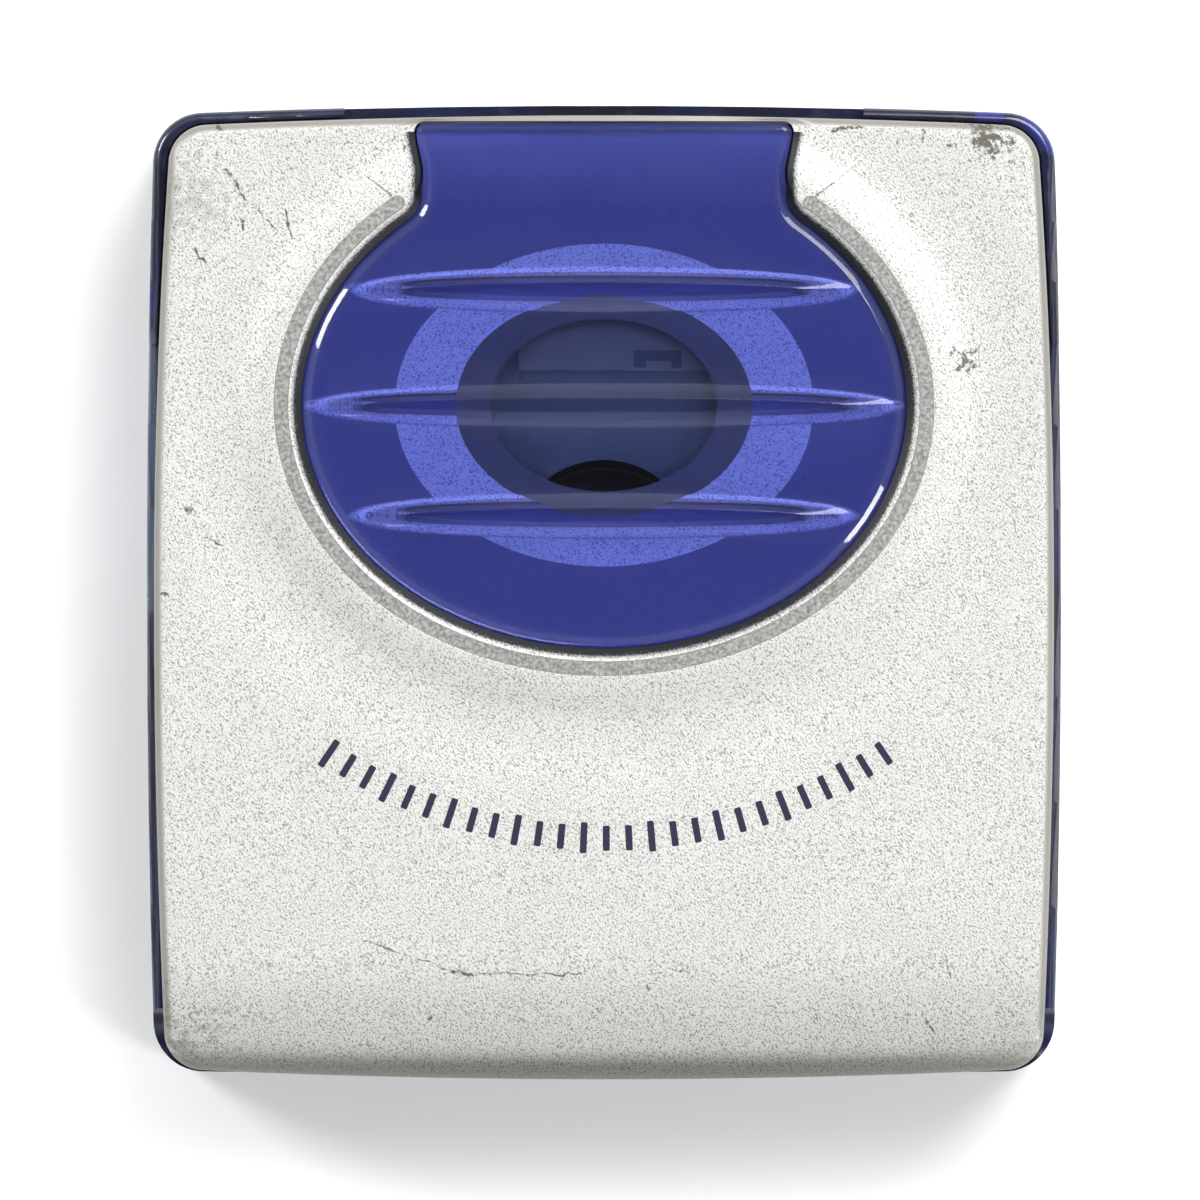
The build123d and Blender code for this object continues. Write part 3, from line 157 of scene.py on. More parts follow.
def along_line(tree, place, start, end, width):
    """1 on a straight line between two places of the lid, 0 past its width."""
    run = (end[0] - start[0], end[1] - start[1], 0.0)
    reach = run[0] ** 2 + run[1] ** 2
    flat = add(tree, "VectorMath", {0: place, 1: (1.0, 1.0, 0.0)}, operation="MULTIPLY")
    here = add(tree, "VectorMath", {0: flat.outputs[0], 1: (*start, 0.0)}, operation="SUBTRACT")
    passed = add(tree, "VectorMath", {0: here.outputs[0], 1: run}, operation="DOT_PRODUCT")
    share = add(tree, "Math", {0: passed.outputs["Value"], 1: reach}, operation="DIVIDE", use_clamp=True)
    step = add(tree, "VectorMath", {0: run, "Scale": share.outputs[0]}, operation="SCALE")
    off = add(tree, "VectorMath", {0: here.outputs[0], 1: step.outputs[0]}, operation="DISTANCE")
    return add(tree, "MapRange", {"Value": off.outputs["Value"], 1: width, 2: 0.4 * width, 3: 0.0, 4: 1.0})


def wear_of(tree, place):
    """How worn the lacquer is, from 0 to 1: scuffs along lines, and stains that thin out round a place."""
    drift = add(tree, "TexNoise", {"Vector": place, "Scale": 1 / 0.8, "Detail": 2.0})
    wander = add(tree, "VectorMath", {0: drift.outputs["Color"], "Scale": WANDER}, operation="SCALE")
    pushed = add(tree, "VectorMath", {0: place, 1: wander.outputs[0]})
    bent = add(tree, "VectorMath", {0: pushed.outputs[0], 1: (WANDER / 2,) * 3}, operation="SUBTRACT")
    worn = None
    for start, end, width in SCUFFS:
        mark = along_line(tree, bent.outputs[0], start, end, width)
        if worn is not None:
            mark = add(tree, "Math", {0: worn.outputs[0], 1: mark.outputs[0]}, operation="MAXIMUM")
        worn = mark
    patch = add(tree, "TexNoise", {"Vector": place, "Scale": 1 / 0.5, "Detail": 2.0})
    held = add(tree, "MapRange", {"Value": patch.outputs["Fac"], 1: 0.38, 2: 0.55, 3: 0.15, 4: 1.0})
    worn = add(tree, "Math", {0: worn.outputs[0], 1: held.outputs[0]}, operation="MULTIPLY")
    speck = add(tree, "TexNoise", {"Vector": place, "Scale": 1 / 0.9, "Detail": 5.0, "Roughness": 0.75})
    flat = add(tree, "VectorMath", {0: place, 1: (1.0, 1.0, 0.0)}, operation="MULTIPLY")
    for x, y, reach, strength in STAINS:
        off = add(tree, "VectorMath", {0: flat.outputs[0], 1: (x, y, 0.0)}, operation="DISTANCE")
        near = add(tree, "MapRange", {"Value": off.outputs["Value"], 1: reach, 2: 0.0, 3: 0.0, 4: 1.0})
        edge = add(tree, "Math", {0: near.outputs[0], 1: -0.28, 2: 0.66}, operation="MULTIPLY_ADD")
        blot = add(tree, "Math", {0: speck.outputs["Fac"], 1: edge.outputs[0]}, operation="SUBTRACT")
        mask = add(tree, "MapRange", {"Value": blot.outputs[0], 1: 0.0, 2: 0.06, 3: 0.0, 4: strength})
        worn = add(tree, "Math", {0: worn.outputs[0], 1: mask.outputs[0]}, operation="MAXIMUM")
    return worn


def silver_lacquer():
    """Sprayed aluminium flake with an orange-peel wrinkle, its wear, and painted shade on slope, rim and hinge
    end.
    """
    material, tree, shader, place = finish("silver_lacquer", Metallic=0.4, Roughness=0.46)
    drawn = add(
        tree,
        "Mapping",
        {"Vector": place, "Scale": WRINKLE_STRETCH, "Rotation": (0.0, 0.0, WRINKLE_TURN)},
        vector_type="TEXTURE",
    )
    wrinkle = add(
        tree,
        "TexNoise",
        {"Vector": drawn.outputs[0], "Scale": 1 / WRINKLE, "Detail": 1.5, "Distortion": 0.6},
    )
    sand = add(tree, "MapRange", {"Value": wrinkle.outputs["Fac"], 1: 0.36, 2: 0.50, 3: 0.0, 4: 1.0})
    cloud = add(tree, "TexNoise", {"Vector": place, "Scale": 1 / 9.0, "Detail": 3.0})
    clean = add(
        tree, "Mix", {0: cloud.outputs["Fac"], 6: linear("#C9C9C4"), 7: linear("#D1D2CE")}, data_type="RGBA"
    )
    grain = add(
        tree, "Mix", {0: sand.outputs[0], 6: linear("#84837B"), 7: clean.outputs[2]}, data_type="RGBA"
    )
    # The rim has less wrinkle, and its darker colour is painted shade.
    rim = add(tree, "Attribute", attribute_name="rim").outputs["Fac"]
    body = add(tree, "Mix", {0: rim, 6: grain.outputs[2], 7: linear("#8B8983")}, data_type="RGBA")
    # Painted shade: darker towards the hinge and darkest over the roll, in a greenish tone that keeps the grain.
    hinge_shade_share = add(tree, "Attribute", attribute_name="hinge_shade").outputs["Fac"]
    hinge_shade_tone = add(
        tree, "Mix", {0: sand.outputs[0], 6: linear("#21241C"), 7: linear("#676B5F")}, data_type="RGBA"
    )
    hinge_shaded = add(tree, "Mix", {0: hinge_shade_share, 6: body.outputs[2], 7: hinge_shade_tone.outputs[2]}, data_type="RGBA")
    worn = wear_of(tree, place).outputs[0]
    used = add(tree, "Mix", {0: worn, 6: hinge_shaded.outputs[2], 7: linear("#57544A")}, data_type="RGBA")
    # Painted shade on the slope down to the window, darkest in the gaps of the grain.
    slope_shade = add(tree, "Attribute", attribute_name="slope_shade").outputs["Fac"]
    thick = add(tree, "Math", {0: slope_shade, 1: 1.5, 2: -0.35}, operation="MULTIPLY_ADD")
    in_grain = add(tree, "MapRange", {"Value": wrinkle.outputs["Fac"], 1: 0.3, 2: 0.62, 3: 0.45, 4: 0.0})
    dark = add(tree, "Math", {0: thick.outputs[0], 1: in_grain.outputs[0]})
    held = add(tree, "Math", {0: dark.outputs[0], 1: slope_shade}, operation="MULTIPLY", use_clamp=True)
    slope_shaded_colour = add(
        tree, "Mix", {0: held.outputs[0], 6: used.outputs[2], 7: linear("#14141A")}, data_type="RGBA"
    )
    tree.links.new(slope_shaded_colour.outputs[2], shader.inputs["Base Color"])
    rough = add(tree, "MapRange", {"Value": rim, 1: 0.0, 2: 1.0, 3: 1.0, 4: 0.1})
    height = add(tree, "Math", {0: wrinkle.outputs["Fac"], 1: rough.outputs[0]}, operation="MULTIPLY")
    bump = add(tree, "Bump", {"Height": height.outputs[0], "Strength": 0.6, "Distance": 0.05 * MM})
    tree.links.new(bump.outputs[0], shader.inputs["Normal"])
    return material


silver = silver_lacquer()
print("made", silver.name, "with", len(SCUFFS), "scuffs")

# %% [markdown]
# ## The bright-cut band, the clear blue plastic and the printed films
# Round the window a diamond tool has cut a smooth bevel through the lacquer: bare aluminium with a fine
# uneven sheen. The window is tinted acrylic, an almost perfect glass with an IOR of 1.49. Light
# crosses it twice, on its way to a film and back, so the tint of one pass is the square root of what the
# eye sees. Three films are printed under it: a dark one, a bright silver ring and a smoked ring. Under
# the sloping flanks of the window's three blades lies silver ink. A thin bright strip of it along each
# blade's upper side is painted light, a greyer ink on the lower flank is painted shade, and a dark stripe
# lies under each crest, so this printing follows the blades' own sizes. The case is smoky polycarbonate,
# a paler stretch of its wall is drawn in its colour, and bluer glows on its top edge are painted light.


# %% Cut aluminium and tinted acrylic
def cut_aluminium():
    """Bare aluminium left by a diamond tool."""
    material, tree, shader, place = finish("cut_aluminium", Metallic=0.9, Roughness=0.34)
    brush = add(tree, "TexNoise", {"Vector": place, "Scale": 1 / 0.3, "Detail": 3.0})
    tint = add(
        tree, "Mix", {0: brush.outputs["Fac"], 6: linear("#AFB0AA"), 7: linear("#E4E4E0")}, data_type="RGBA"
    )
    tree.links.new(tint.outputs[2], shader.inputs["Base Color"])
    worn = add(tree, "MapRange", {"Value": brush.outputs["Fac"], 1: 0.3, 2: 0.7, 3: 0.28, 4: 0.42})
    tree.links.new(worn.outputs[0], shader.inputs["Roughness"])
    return material


def tinted_acrylic(name, tint, roughness):
    """Moulded clear acrylic with a dye in it."""
    material, tree, shader, place = finish(name, Roughness=roughness, IOR=1.49)
    shader.inputs["Transmission Weight"].default_value = 1.0
    shader.inputs["Base Color"].default_value = linear(tint)
    haze = add(tree, "TexNoise", {"Vector": place, "Scale": 1 / 6.0, "Detail": 4.0})
    worn = add(
        tree,
        "MapRange",
        {"Value": haze.outputs["Fac"], 1: 0.35, 2: 0.75, 3: roughness, 4: roughness + 0.06},
    )
    tree.links.new(worn.outputs[0], shader.inputs["Roughness"])
    return material


band_metal = cut_aluminium()
window_blue = tinted_acrylic("window_acrylic", "#B5BEFD", 0.02)
print("made", band_metal.name, "and", window_blue.name)

# %% The case's polycarbonate
CASE_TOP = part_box("mid_frame")[1].z / MM
CASE_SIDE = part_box("mid_frame")[0].x / MM
PALE_FROM, PALE_TO, PALE_REACH = (CASE_SIDE, 21.4), (CASE_SIDE, -0.8), 1.6
GLOW_REACH = 0.8
# Each glow is a bluer patch of painted light on the case's top edge, from one place to another.
GLOWS = (
    ((CASE_SIDE, 26.1), (CASE_SIDE, 24.6)),
    ((CASE_SIDE, -28.1), (CASE_SIDE, -29.4)),
    ((CASE_SIDE, -36.8), (CASE_SIDE, -38.0)),
    ((33.0, 41.9), (34.4, 41.8)),
    ((37.2, 41.2), (39.2, 38.8)),
)


def case_plastic():
    """Smoky blue polycarbonate, a third clear, with a paler wall round the keys and painted glows on its top
    edges.
    """
    material, tree, shader, place = finish("case_polycarbonate", Roughness=0.16, IOR=1.58)
    shader.inputs["Transmission Weight"].default_value = 0.35
    cloud = add(tree, "TexNoise", {"Vector": place, "Scale": 1 / 8.0, "Detail": 3.0})
    depth = add(tree, "MapRange", {"Value": cloud.outputs["Fac"], 1: 0.3, 2: 0.7, 3: 0.0, 4: 1.0})
    smoke = add(
        tree, "Mix", {0: depth.outputs[0], 6: linear("#1D2029"), 7: linear("#252A50")}, data_type="RGBA"
    )
    pale = along_line(tree, place, PALE_FROM, PALE_TO, PALE_REACH)
    colour = add(
        tree, "Mix", {0: pale.outputs[0], 6: smoke.outputs[2], 7: linear("#555E7A")}, data_type="RGBA"
    )
    height = add(tree, "SeparateXYZ", {0: place}).outputs[2]
    at_top = add(tree, "MapRange", {"Value": height, 1: CASE_TOP - 2.5, 2: CASE_TOP - 0.5, 3: 0.0, 4: 1.0})
    # Painted light: bluer glows near the case's top edge.
    for start, end in GLOWS:
        near = along_line(tree, place, start, end, GLOW_REACH)
        lit = add(tree, "Math", {0: near.outputs[0], 1: at_top.outputs[0]}, operation="MULTIPLY")
        colour = add(
            tree, "Mix", {0: lit.outputs[0], 6: colour.outputs[2], 7: linear("#2C3488")}, data_type="RGBA"
        )
    tree.links.new(colour.outputs[2], shader.inputs["Base Color"])
    scratch = add(tree, "TexNoise", {"Vector": place, "Scale": 1 / 1.5, "Detail": 5.0})
    worn = add(tree, "MapRange", {"Value": scratch.outputs["Fac"], 1: 0.4, 2: 0.7, 3: 0.10, 4: 0.30})
    tree.links.new(worn.outputs[0], shader.inputs["Roughness"])
    return material


case_blue = case_plastic()
print("made", case_blue.name, "with", len(GLOWS), "bluer stretches")

# %% Printed films
# Each blade of the window has a place along Y and half a length.
BLADES = ((26.4, 21.8), (16.3, 25.6), (6.7, 21.8))
BLADE_HALF, CREST_HALF, TIP_RUN, BLADE_HIGH = 1.95, 0.6, 4.8, 0.8
INK_GRAIN = 0.15


def speckled(tree, place, ground, speck, share):
    """A ground colour with the pinholes of a metallic ink, coarser than real ones so that they show."""
    grain = add(tree, "TexNoise", {"Vector": place, "Scale": 1 / INK_GRAIN, "Detail": 1.0}).outputs["Fac"]
    mask = add(tree, "MapRange", {"Value": grain, 1: share, 2: share - 0.10, 3: 0.0, 4: 1.0})
    return add(tree, "Mix", {0: mask.outputs[0], 6: linear(ground), 7: linear(speck)}, data_type="RGBA")


def under_blades(tree, place, half_wide, inset, shift):
    """1 inside three long ovals, one under each blade, 0 outside."""
    inside = None
    for y, half_long in BLADES:
        off = add(tree, "VectorMath", {0: place, 1: (0.0, y + shift, 0.0)}, operation="SUBTRACT")
        scale = (1 / (half_long - inset), 1 / half_wide, 0.0)
        part = add(tree, "VectorMath", {0: off.outputs[0], 1: scale}, operation="MULTIPLY")
        far = add(tree, "VectorMath", {0: part.outputs[0]}, operation="LENGTH")
        this = add(tree, "MapRange", {"Value": far.outputs["Value"], 1: 1.03, 2: 0.97, 3: 0.0, 4: 1.0})
        if inside is not None:
            this = add(tree, "Math", {0: inside.outputs[0], 1: this.outputs[0]})
        inside = this
    return inside


def printed_film(name, ground, speck, share, blade_ground=None):
    """A screen-printed film: metallic ink, silver under the blades with painted light and shade, dark under
    crests.
    """
    material, tree, shader, place = finish(name, Metallic=0.1, Roughness=0.45)
    colour = speckled(tree, place, ground, speck, share)
    if blade_ground:
        # Under each blade: silver ink, then a greyer ink shifted down in Y that leaves a thin bright strip of
        # painted light along the upper side and paints shade on the lower flank, then a dark stripe under the
        # crest.
        # Each print has an ink, half a width, how far it stops before the blade's tip, and a shift in Y.
        flank_inks_and_painted_light = (
            (speckled(tree, place, "#F4F6FC", "#767A98", 0.44), BLADE_HALF, 0.0, 0.0),
            (speckled(tree, place, "#A6A9BE", "#6C6F8A", 0.47), BLADE_HALF - 0.3, 0.6, -0.36),
            (speckled(tree, place, "#3E3D55", "#33324A", 0.40), 0.80, TIP_RUN - 0.8, 0.12),
        )
        for ink, half_wide, inset, shift in flank_inks_and_painted_light:
            mask = under_blades(tree, place, half_wide, inset, shift)
            links = {0: mask.outputs[0], 6: colour.outputs[2], 7: ink.outputs[2]}
            colour = add(tree, "Mix", links, data_type="RGBA")
        crest = under_blades(tree, place, CREST_HALF + 0.02, TIP_RUN, -0.02)
        streak = add(tree, "Mapping", {"Vector": place, "Scale": (0.12, 3.2, 1.0)})
        tone = add(tree, "TexNoise", {"Vector": streak.outputs[0], "Scale": 1.0, "Detail": 2.0})
        shades = {0: tone.outputs["Fac"], 6: linear(blade_ground), 7: linear("#6E7094")}
        stripe = add(tree, "Mix", shades, data_type="RGBA")
        colour = add(
            tree, "Mix", {0: crest.outputs[0], 6: colour.outputs[2], 7: stripe.outputs[2]}, data_type="RGBA"
        )
    up_neck = add(tree, "SeparateXYZ", {0: place}).outputs[1]
    paler = add(tree, "MapRange", {"Value": up_neck, 1: 33.5, 2: 41.5, 3: 0.0, 4: 0.42})
    colour = add(
        tree, "Mix", {0: paler.outputs[0], 6: colour.outputs[2], 7: linear("#C9C7CE")}, data_type="RGBA"
    )
    tree.links.new(colour.outputs[2], shader.inputs["Base Color"])
    return material


film_dark = printed_film("film_dark_print", "#72728A", "#62637C", 0.38, "#454359")
film_bright = printed_film("film_silver_print", "#D6D7DC", "#8B8DA2", 0.46, "#4A4966")
film_tint = printed_film("film_smoke_print", "#65645E", "#57564F", 0.36)
print("made", film_dark.name, film_bright.name, film_tint.name)

# %% [markdown]
# ## The mechanism's materials
# Sheet steel is rolled, so it carries fine parallel lines. Plated pins and screws are smoother. The keys,
# sled and jacks are black moulded ABS with a spark-eroded skin, the gears a milky acetal, the boards a
# green glass epoxy with copper tracks under the lacquer, the contacts and coils brass and copper. The
# lines and the skin's grain are drawn two to four times coarser than the real ones, so that they show,
# and so are the tracks, in rows of 0.7 mm. Metals keep the shader's own IOR.


# %% Metals, plastics and rubber
def rolled(name, colour, roughness, metallic=1.0, line=0.12):
    """Rolled sheet or turned metal: fine lines along X."""
    material, tree, shader, place = finish(name, Metallic=metallic, Roughness=roughness)
    shader.inputs["Base Color"].default_value = linear(colour)
    stretched = add(tree, "Mapping", {"Vector": place, "Scale": (0.06 / line, 1 / line, 1 / line)})
    lines = add(tree, "TexNoise", {"Vector": stretched.outputs[0], "Scale": 1.0, "Detail": 3.0})
    worn = add(
        tree,
        "MapRange",
        {"Value": lines.outputs["Fac"], 1: 0.3, 2: 0.7, 3: roughness - 0.06, 4: roughness + 0.08},
    )
    tree.links.new(worn.outputs[0], shader.inputs["Roughness"])
    bump = add(tree, "Bump", {"Height": lines.outputs["Fac"], "Strength": 0.1, "Distance": 0.02 * MM})
    tree.links.new(bump.outputs[0], shader.inputs["Normal"])
    return material


def moulded(name, dark, light, roughness, grain=0.22):
    """Moulded plastic or rubber with the fine skin of its mould."""
    material, tree, shader, place = finish(name, Roughness=roughness)
    pits = add(tree, "TexNoise", {"Vector": place, "Scale": 1 / grain, "Detail": 2.0})
    cloud = add(tree, "TexNoise", {"Vector": place, "Scale": 1 / 7.0, "Detail": 3.0})
    colour = add(
        tree, "Mix", {0: cloud.outputs["Fac"], 6: linear(dark), 7: linear(light)}, data_type="RGBA"
    )
    tree.links.new(colour.outputs[2], shader.inputs["Base Color"])
    bump = add(tree, "Bump", {"Height": pits.outputs["Fac"], "Strength": 0.2, "Distance": 0.03 * MM})
    tree.links.new(bump.outputs[0], shader.inputs["Normal"])
    return material


def circuit_board():
    """Green glass epoxy with tracks under the lacquer."""
    material, tree, shader, place = finish("circuit_board", Roughness=0.35)
    tracks = add(
        tree,
        "TexBrick",
        {
            "Vector": place,
            "Color1": linear("#1E5A35"),
            "Color2": linear("#17492B"),
            "Mortar": linear("#3B8450"),
            "Scale": 0.5,
            "Mortar Size": 0.08,
            "Brick Width": 2.6,
            "Row Height": 0.35,
        },
    )
    tree.links.new(tracks.outputs["Color"], shader.inputs["Base Color"])
    return material


print("one function each for rolled metal, moulded plastic and boards")

# %% A finish for each solid piece
FINISHES = {
    "lid_paint": silver,
    "blue_clear": window_blue,
    "case_blue": case_blue,
    "film_dark": film_dark,
    "film_bright": film_bright,
    "film_tint": film_tint,
    "cover_metal": rolled("painted_cover", "#A9ABAD", 0.42, 0.7),
    "steel": rolled("rolled_steel", "#B4B5B2", 0.36),
    "chrome_steel": rolled("plated_steel", "#CFCFCC", 0.2),
    "brass": rolled("brass_and_copper", "#C79A5B", 0.3),
    "black_plastic": moulded("black_abs", "#15161A", "#202126", 0.4),
    "rubber": moulded("foot_rubber", "#1B1B1C", "#29292B", 0.75),
    "gear_plastic": moulded("milky_acetal", "#D9D5C8", "#E6E3D9", 0.38),
    "cell": moulded("cell_sleeve", "#2C5A86", "#3A6C98", 0.33),
    "board": circuit_board(),
    "glass": tinted_acrylic("objective_glass", "#E8F2FF", 0.0),
}
# Six pieces of the mechanism, which show through the window, have a finish of their own.
OWN_FINISH = {
    "cartridge_holder": rolled("chromated_sheet", "#6E7568", 0.58, 0.6),
    "holder_leaf": rolled("phosphor_bronze_leaf", "#8F8E78", 0.50, 0.7),
    "drive_chassis": rolled("blackened_steel", "#262620", 0.6, 0.5),
    # The rotor is steel. Its near-black colour is painted shade from the inside of the player.
    "spindle_rotor": rolled("rotor_steel_in_painted_shade", "#1E1E1C", 0.6, 0.5),
    "turntable": moulded("dull_acetal", "#12130E", "#191A13", 0.85),
    "chuck_magnet": rolled("sintered_magnet", "#0C0C0B", 0.8, 0.2),
}
for part in frame["record"]["subparts"]:
    node = frame["nodes"][part["node"]]
    node.data.materials.clear()
    node.data.materials.append(OWN_FINISH.get(part["node"], FINISHES[part["material_slot"]]))

# %% [markdown]
# ## Outlines of the lid and the window
# The lid's plan is four shallow arcs with rounded corners. The window is an oval whose upper side runs out
# in a waisted neck to the edge of the lid. Both are drawn here as many points with their outward
# directions, so that a line beside them, a bevel or a rim, is only a step along that direction.

# %% Sizes of the lid and the window
lid_low, lid_high = (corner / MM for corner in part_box("lid_shell"))
lens_low, lens_high = (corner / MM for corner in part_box("window_lens"))
hinge = next(joint for joint in frame["joints"] if joint["name"] == "lid_hinge")
AXIS_Y = hinge["pos_m"][1] / MM
LID_WALL = 0.8
MOUND = 0.6
LID_TOP = lid_high.z - MOUND
LID_UNDER = LID_TOP - LID_WALL
LID_FRONT = lid_high.y
LID_HALF = lid_high.x
ROLL = AXIS_Y - lid_low.y
CROWN_RUN = 15.4
CROWN_DROP = 0.4
FRONT_SLIM, BACK_SLIM, END_BOW, LID_CORNER = 1.5, 1.05, 0.95, 3.4
OVAL_X, OVAL_Y = 26.6, 21.4
CENTRE = np.array([0.0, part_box("window_film_bright")[0].y / MM + 14.05])
NECK_TOP = LID_FRONT - 0.65
NECK_HALF, NECK_FLARE, NECK_CORNER = 15.8, 3.0, 0.9
WAIST_RUN, END_WIDER, END_LEAN = 3.9, 0.6, radians(-8)
print("lid half width", round(LID_HALF, 2), "front", round(LID_FRONT, 2), "roll", round(ROLL, 2))


# %% Arcs and outlines
def arc(centre, radius, start, end, step=0.25):
    """Points and outward directions along an arc, from one angle to another in radians."""
    count = max(3, int(abs(end - start) * radius / step))
    turn = np.linspace(start, end, count)
    way = np.stack([np.cos(turn), np.sin(turn)], 1)
    return np.array(centre) + radius * way, way


def rounded_between(first, second, radius, near):
    """The centre of a small circle that touches two bigger ones from inside, at a corner near a point."""
    (c1, r1), (c2, r2) = first, second
    a, b = r1 - radius, r2 - radius
    gap = np.array(c2) - np.array(c1)
    far = np.linalg.norm(gap)
    along = (a * a - b * b + far * far) / (2 * far)
    off = sqrt(a * a - along * along)
    unit = gap / far
    side = np.array([-unit[1], unit[0]])
    found = [np.array(c1) + along * unit + s * off * side for s in (1, -1)]
    return min(found, key=lambda p: np.linalg.norm(p - np.array(near)))


def angle_from(centre, point):
    """The direction of a point seen from a centre, in radians."""
    return atan2(point[1] - centre[1], point[0] - centre[0])


def lid_line():
    """The lid's plan as points with outward directions: in each quarter a side, a corner and an end arc."""
    line, ways = [], []
    for far_y, slim, sign in ((LID_FRONT, FRONT_SLIM, 1), (lid_low.y, BACK_SLIM, -1)):
        corner_half, corner_y = LID_HALF - slim, far_y - sign * END_BOW
        side_r = (slim**2 + corner_y**2) / (2 * slim)
        end_r = (corner_half**2 + END_BOW**2) / (2 * END_BOW)
        side = ((LID_HALF - side_r, 0.0), side_r)
        end = ((0.0, far_y - sign * end_r), end_r)
        spot = rounded_between(side, end, LID_CORNER, (corner_half, corner_y))
        turn_side, turn_end = angle_from(side[0], spot), angle_from(end[0], spot)
        pieces = [
            arc(side[0], side_r, 0.0, turn_side),
            arc(spot, LID_CORNER, turn_side, turn_end, 0.12),
            arc(end[0], end_r, turn_end, sign * pi / 2),
        ]
        line.append(np.concatenate([points for points, _ in pieces]))
        ways.append(np.concatenate([way for _, way in pieces]))
    right = np.concatenate([line[1][::-1], line[0]])
    right_way = np.concatenate([ways[1][::-1], ways[0]])
    flip = np.array([-1.0, 1.0])
    return np.concatenate([right, right[::-1] * flip]), np.concatenate([right_way, right_way[::-1] * flip])


LID_POINTS, LID_WAYS = lid_line()
print("points round the lid:", len(LID_POINTS))


# %% The window's line: oval, flared neck and its end
def window_line(grow, neck_grow):
    """The window's edge moved outwards, as points with outward directions: half of it, and its mirror."""
    long, short = OVAL_X + grow, OVAL_Y + grow
    side = NECK_HALF + neck_grow
    spot_x = side + NECK_FLARE
    lean = sqrt(1 - (spot_x / (long + NECK_FLARE)) ** 2)
    spot = np.array([spot_x, CENTRE[1] + (short + NECK_FLARE) * lean])
    turn = atan2(lean, spot_x / (long + NECK_FLARE))
    sweep = np.linspace(-pi / 2, turn, 260)
    oval = CENTRE + np.stack([long * np.cos(sweep), short * np.sin(sweep)], 1)
    oval_way = np.stack([np.cos(sweep) / long, np.sin(sweep) / short], 1)
    oval_way /= np.linalg.norm(oval_way, axis=1)[:, None]
    bend, bend_in = arc(spot, NECK_FLARE, angle_from(spot, oval[-1]) + 2 * pi, pi, 0.12)
    end = NECK_TOP + neck_grow
    waist = np.array([side, NECK_TOP - WAIST_RUN])
    straight = np.array([[side, y] for y in np.linspace(spot[1], waist[1], 10)[1:]])
    corner = (side + END_WIDER - NECK_CORNER, end - NECK_CORNER)
    tip, tip_way = arc(corner, NECK_CORNER, END_LEAN, pi / 2, 0.08)
    flared = waist + np.linspace(0, 1, 12)[1:-1, None] * (tip[0] - waist)
    top = np.array([[x, end] for x in np.linspace(tip[-1][0], 0, 40)[1:]])
    right = np.concatenate([oval, bend[1:], straight, flared, tip, top])
    way = np.concatenate(
        [
            oval_way,
            -bend_in[1:],
            np.tile([1.0, 0.0], (len(straight), 1)),
            np.tile([cos(END_LEAN), sin(END_LEAN)], (len(flared), 1)),
            tip_way,
            np.tile([0.0, 1.0], (len(top), 1)),
        ]
    )
    flip = np.array([-1.0, 1.0])
    return np.concatenate([right, right[-2:0:-1] * flip]), np.concatenate([way, way[-2:0:-1] * flip])


def read_at(turns, points, ways):
    """Points and directions of a closed line at the given directions from the window's middle."""
    place = np.arctan2(points[:, 1] - CENTRE[1], points[:, 0] - CENTRE[0])
    order = np.argsort(place)
    table = np.concatenate([points, ways], 1)[order]
    found = np.stack([np.interp(turns, place[order], column, period=2 * pi) for column in table.T], 1)
    unit = found[:, 2:] / np.linalg.norm(found[:, 2:], axis=1)[:, None]
    return found[:, :2], unit


HOLE_POINTS, HOLE_WAYS = window_line(-0.15, 0.15)
print("points round the window:", len(HOLE_POINTS))

# %% [markdown]
# ## The height of the lid
# A pressed lid is a field of gentle heights. It is flat, sinks a little towards the hinge, and swells to a
# low mound round the window with a shallow dish outside it. The mound's height depends only on how far a
# place is outside the oval, so that distance is worked out first, by asking how much the oval has to grow
# to reach it. One function gives the height everywhere, and all that lies on the lid reads it.


# %% Height of the lid
def smooth(value):
    """From 0 to 1 with soft ends."""
    t = np.clip(value, 0.0, 1.0)
    return t * t * (3 - 2 * t)


def oval_gap(x, y):
    """How much the window's oval has to grow to reach a place, in mm."""
    up = y - CENTRE[1]
    gap = np.hypot(x, up) - 24.0
    for _ in range(12):
        a, b = OVAL_X + gap, OVAL_Y + gap
        miss = (x / a) ** 2 + (up / b) ** 2 - 1
        gap = gap + miss / (2 * (x**2 / a**3 + up**2 / b**3))
    return gap


BROW, FOOT = 2.3, 6.2
DISH_DEEP, DISH_FROM, DISH_TO = 0.18, 4.2, 15.0


def lid_height(x, y):
    """Height of the lid's top over the table, without its rounded edges."""
    gap = oval_gap(x, y)
    mound = MOUND * (1 - smooth((gap - BROW) / (FOOT - BROW)))
    wave = np.clip((gap - DISH_FROM) / (DISH_TO - DISH_FROM), 0, 1)
    dish = DISH_DEEP * np.sin(pi * wave**0.7) ** 2
    crown = CROWN_DROP * np.clip((AXIS_Y + CROWN_RUN - y) / CROWN_RUN, 0, 1.02) ** 2
    return LID_TOP + mound - dish - crown


print("height in the middle of the far half:", round(float(lid_height(0.0, -20.0)), 2))

# %% [markdown]
# ## The pressed lid as one closed skin
# Think of the lid as a ring: one line runs round the window, another round the edge. Rows of points march
# from the first to the second, over the rounded edge or the big roll at the hinge, down the skirt, and
# back under the ceiling. Every row has the same count of points, so neighbours join into squares and the
# last row meets the first. It could be carved from a block, but rows put points where the bends are.
# At the front the skirt has a longer lip in the middle, and at the hinge it turns into a big roll.

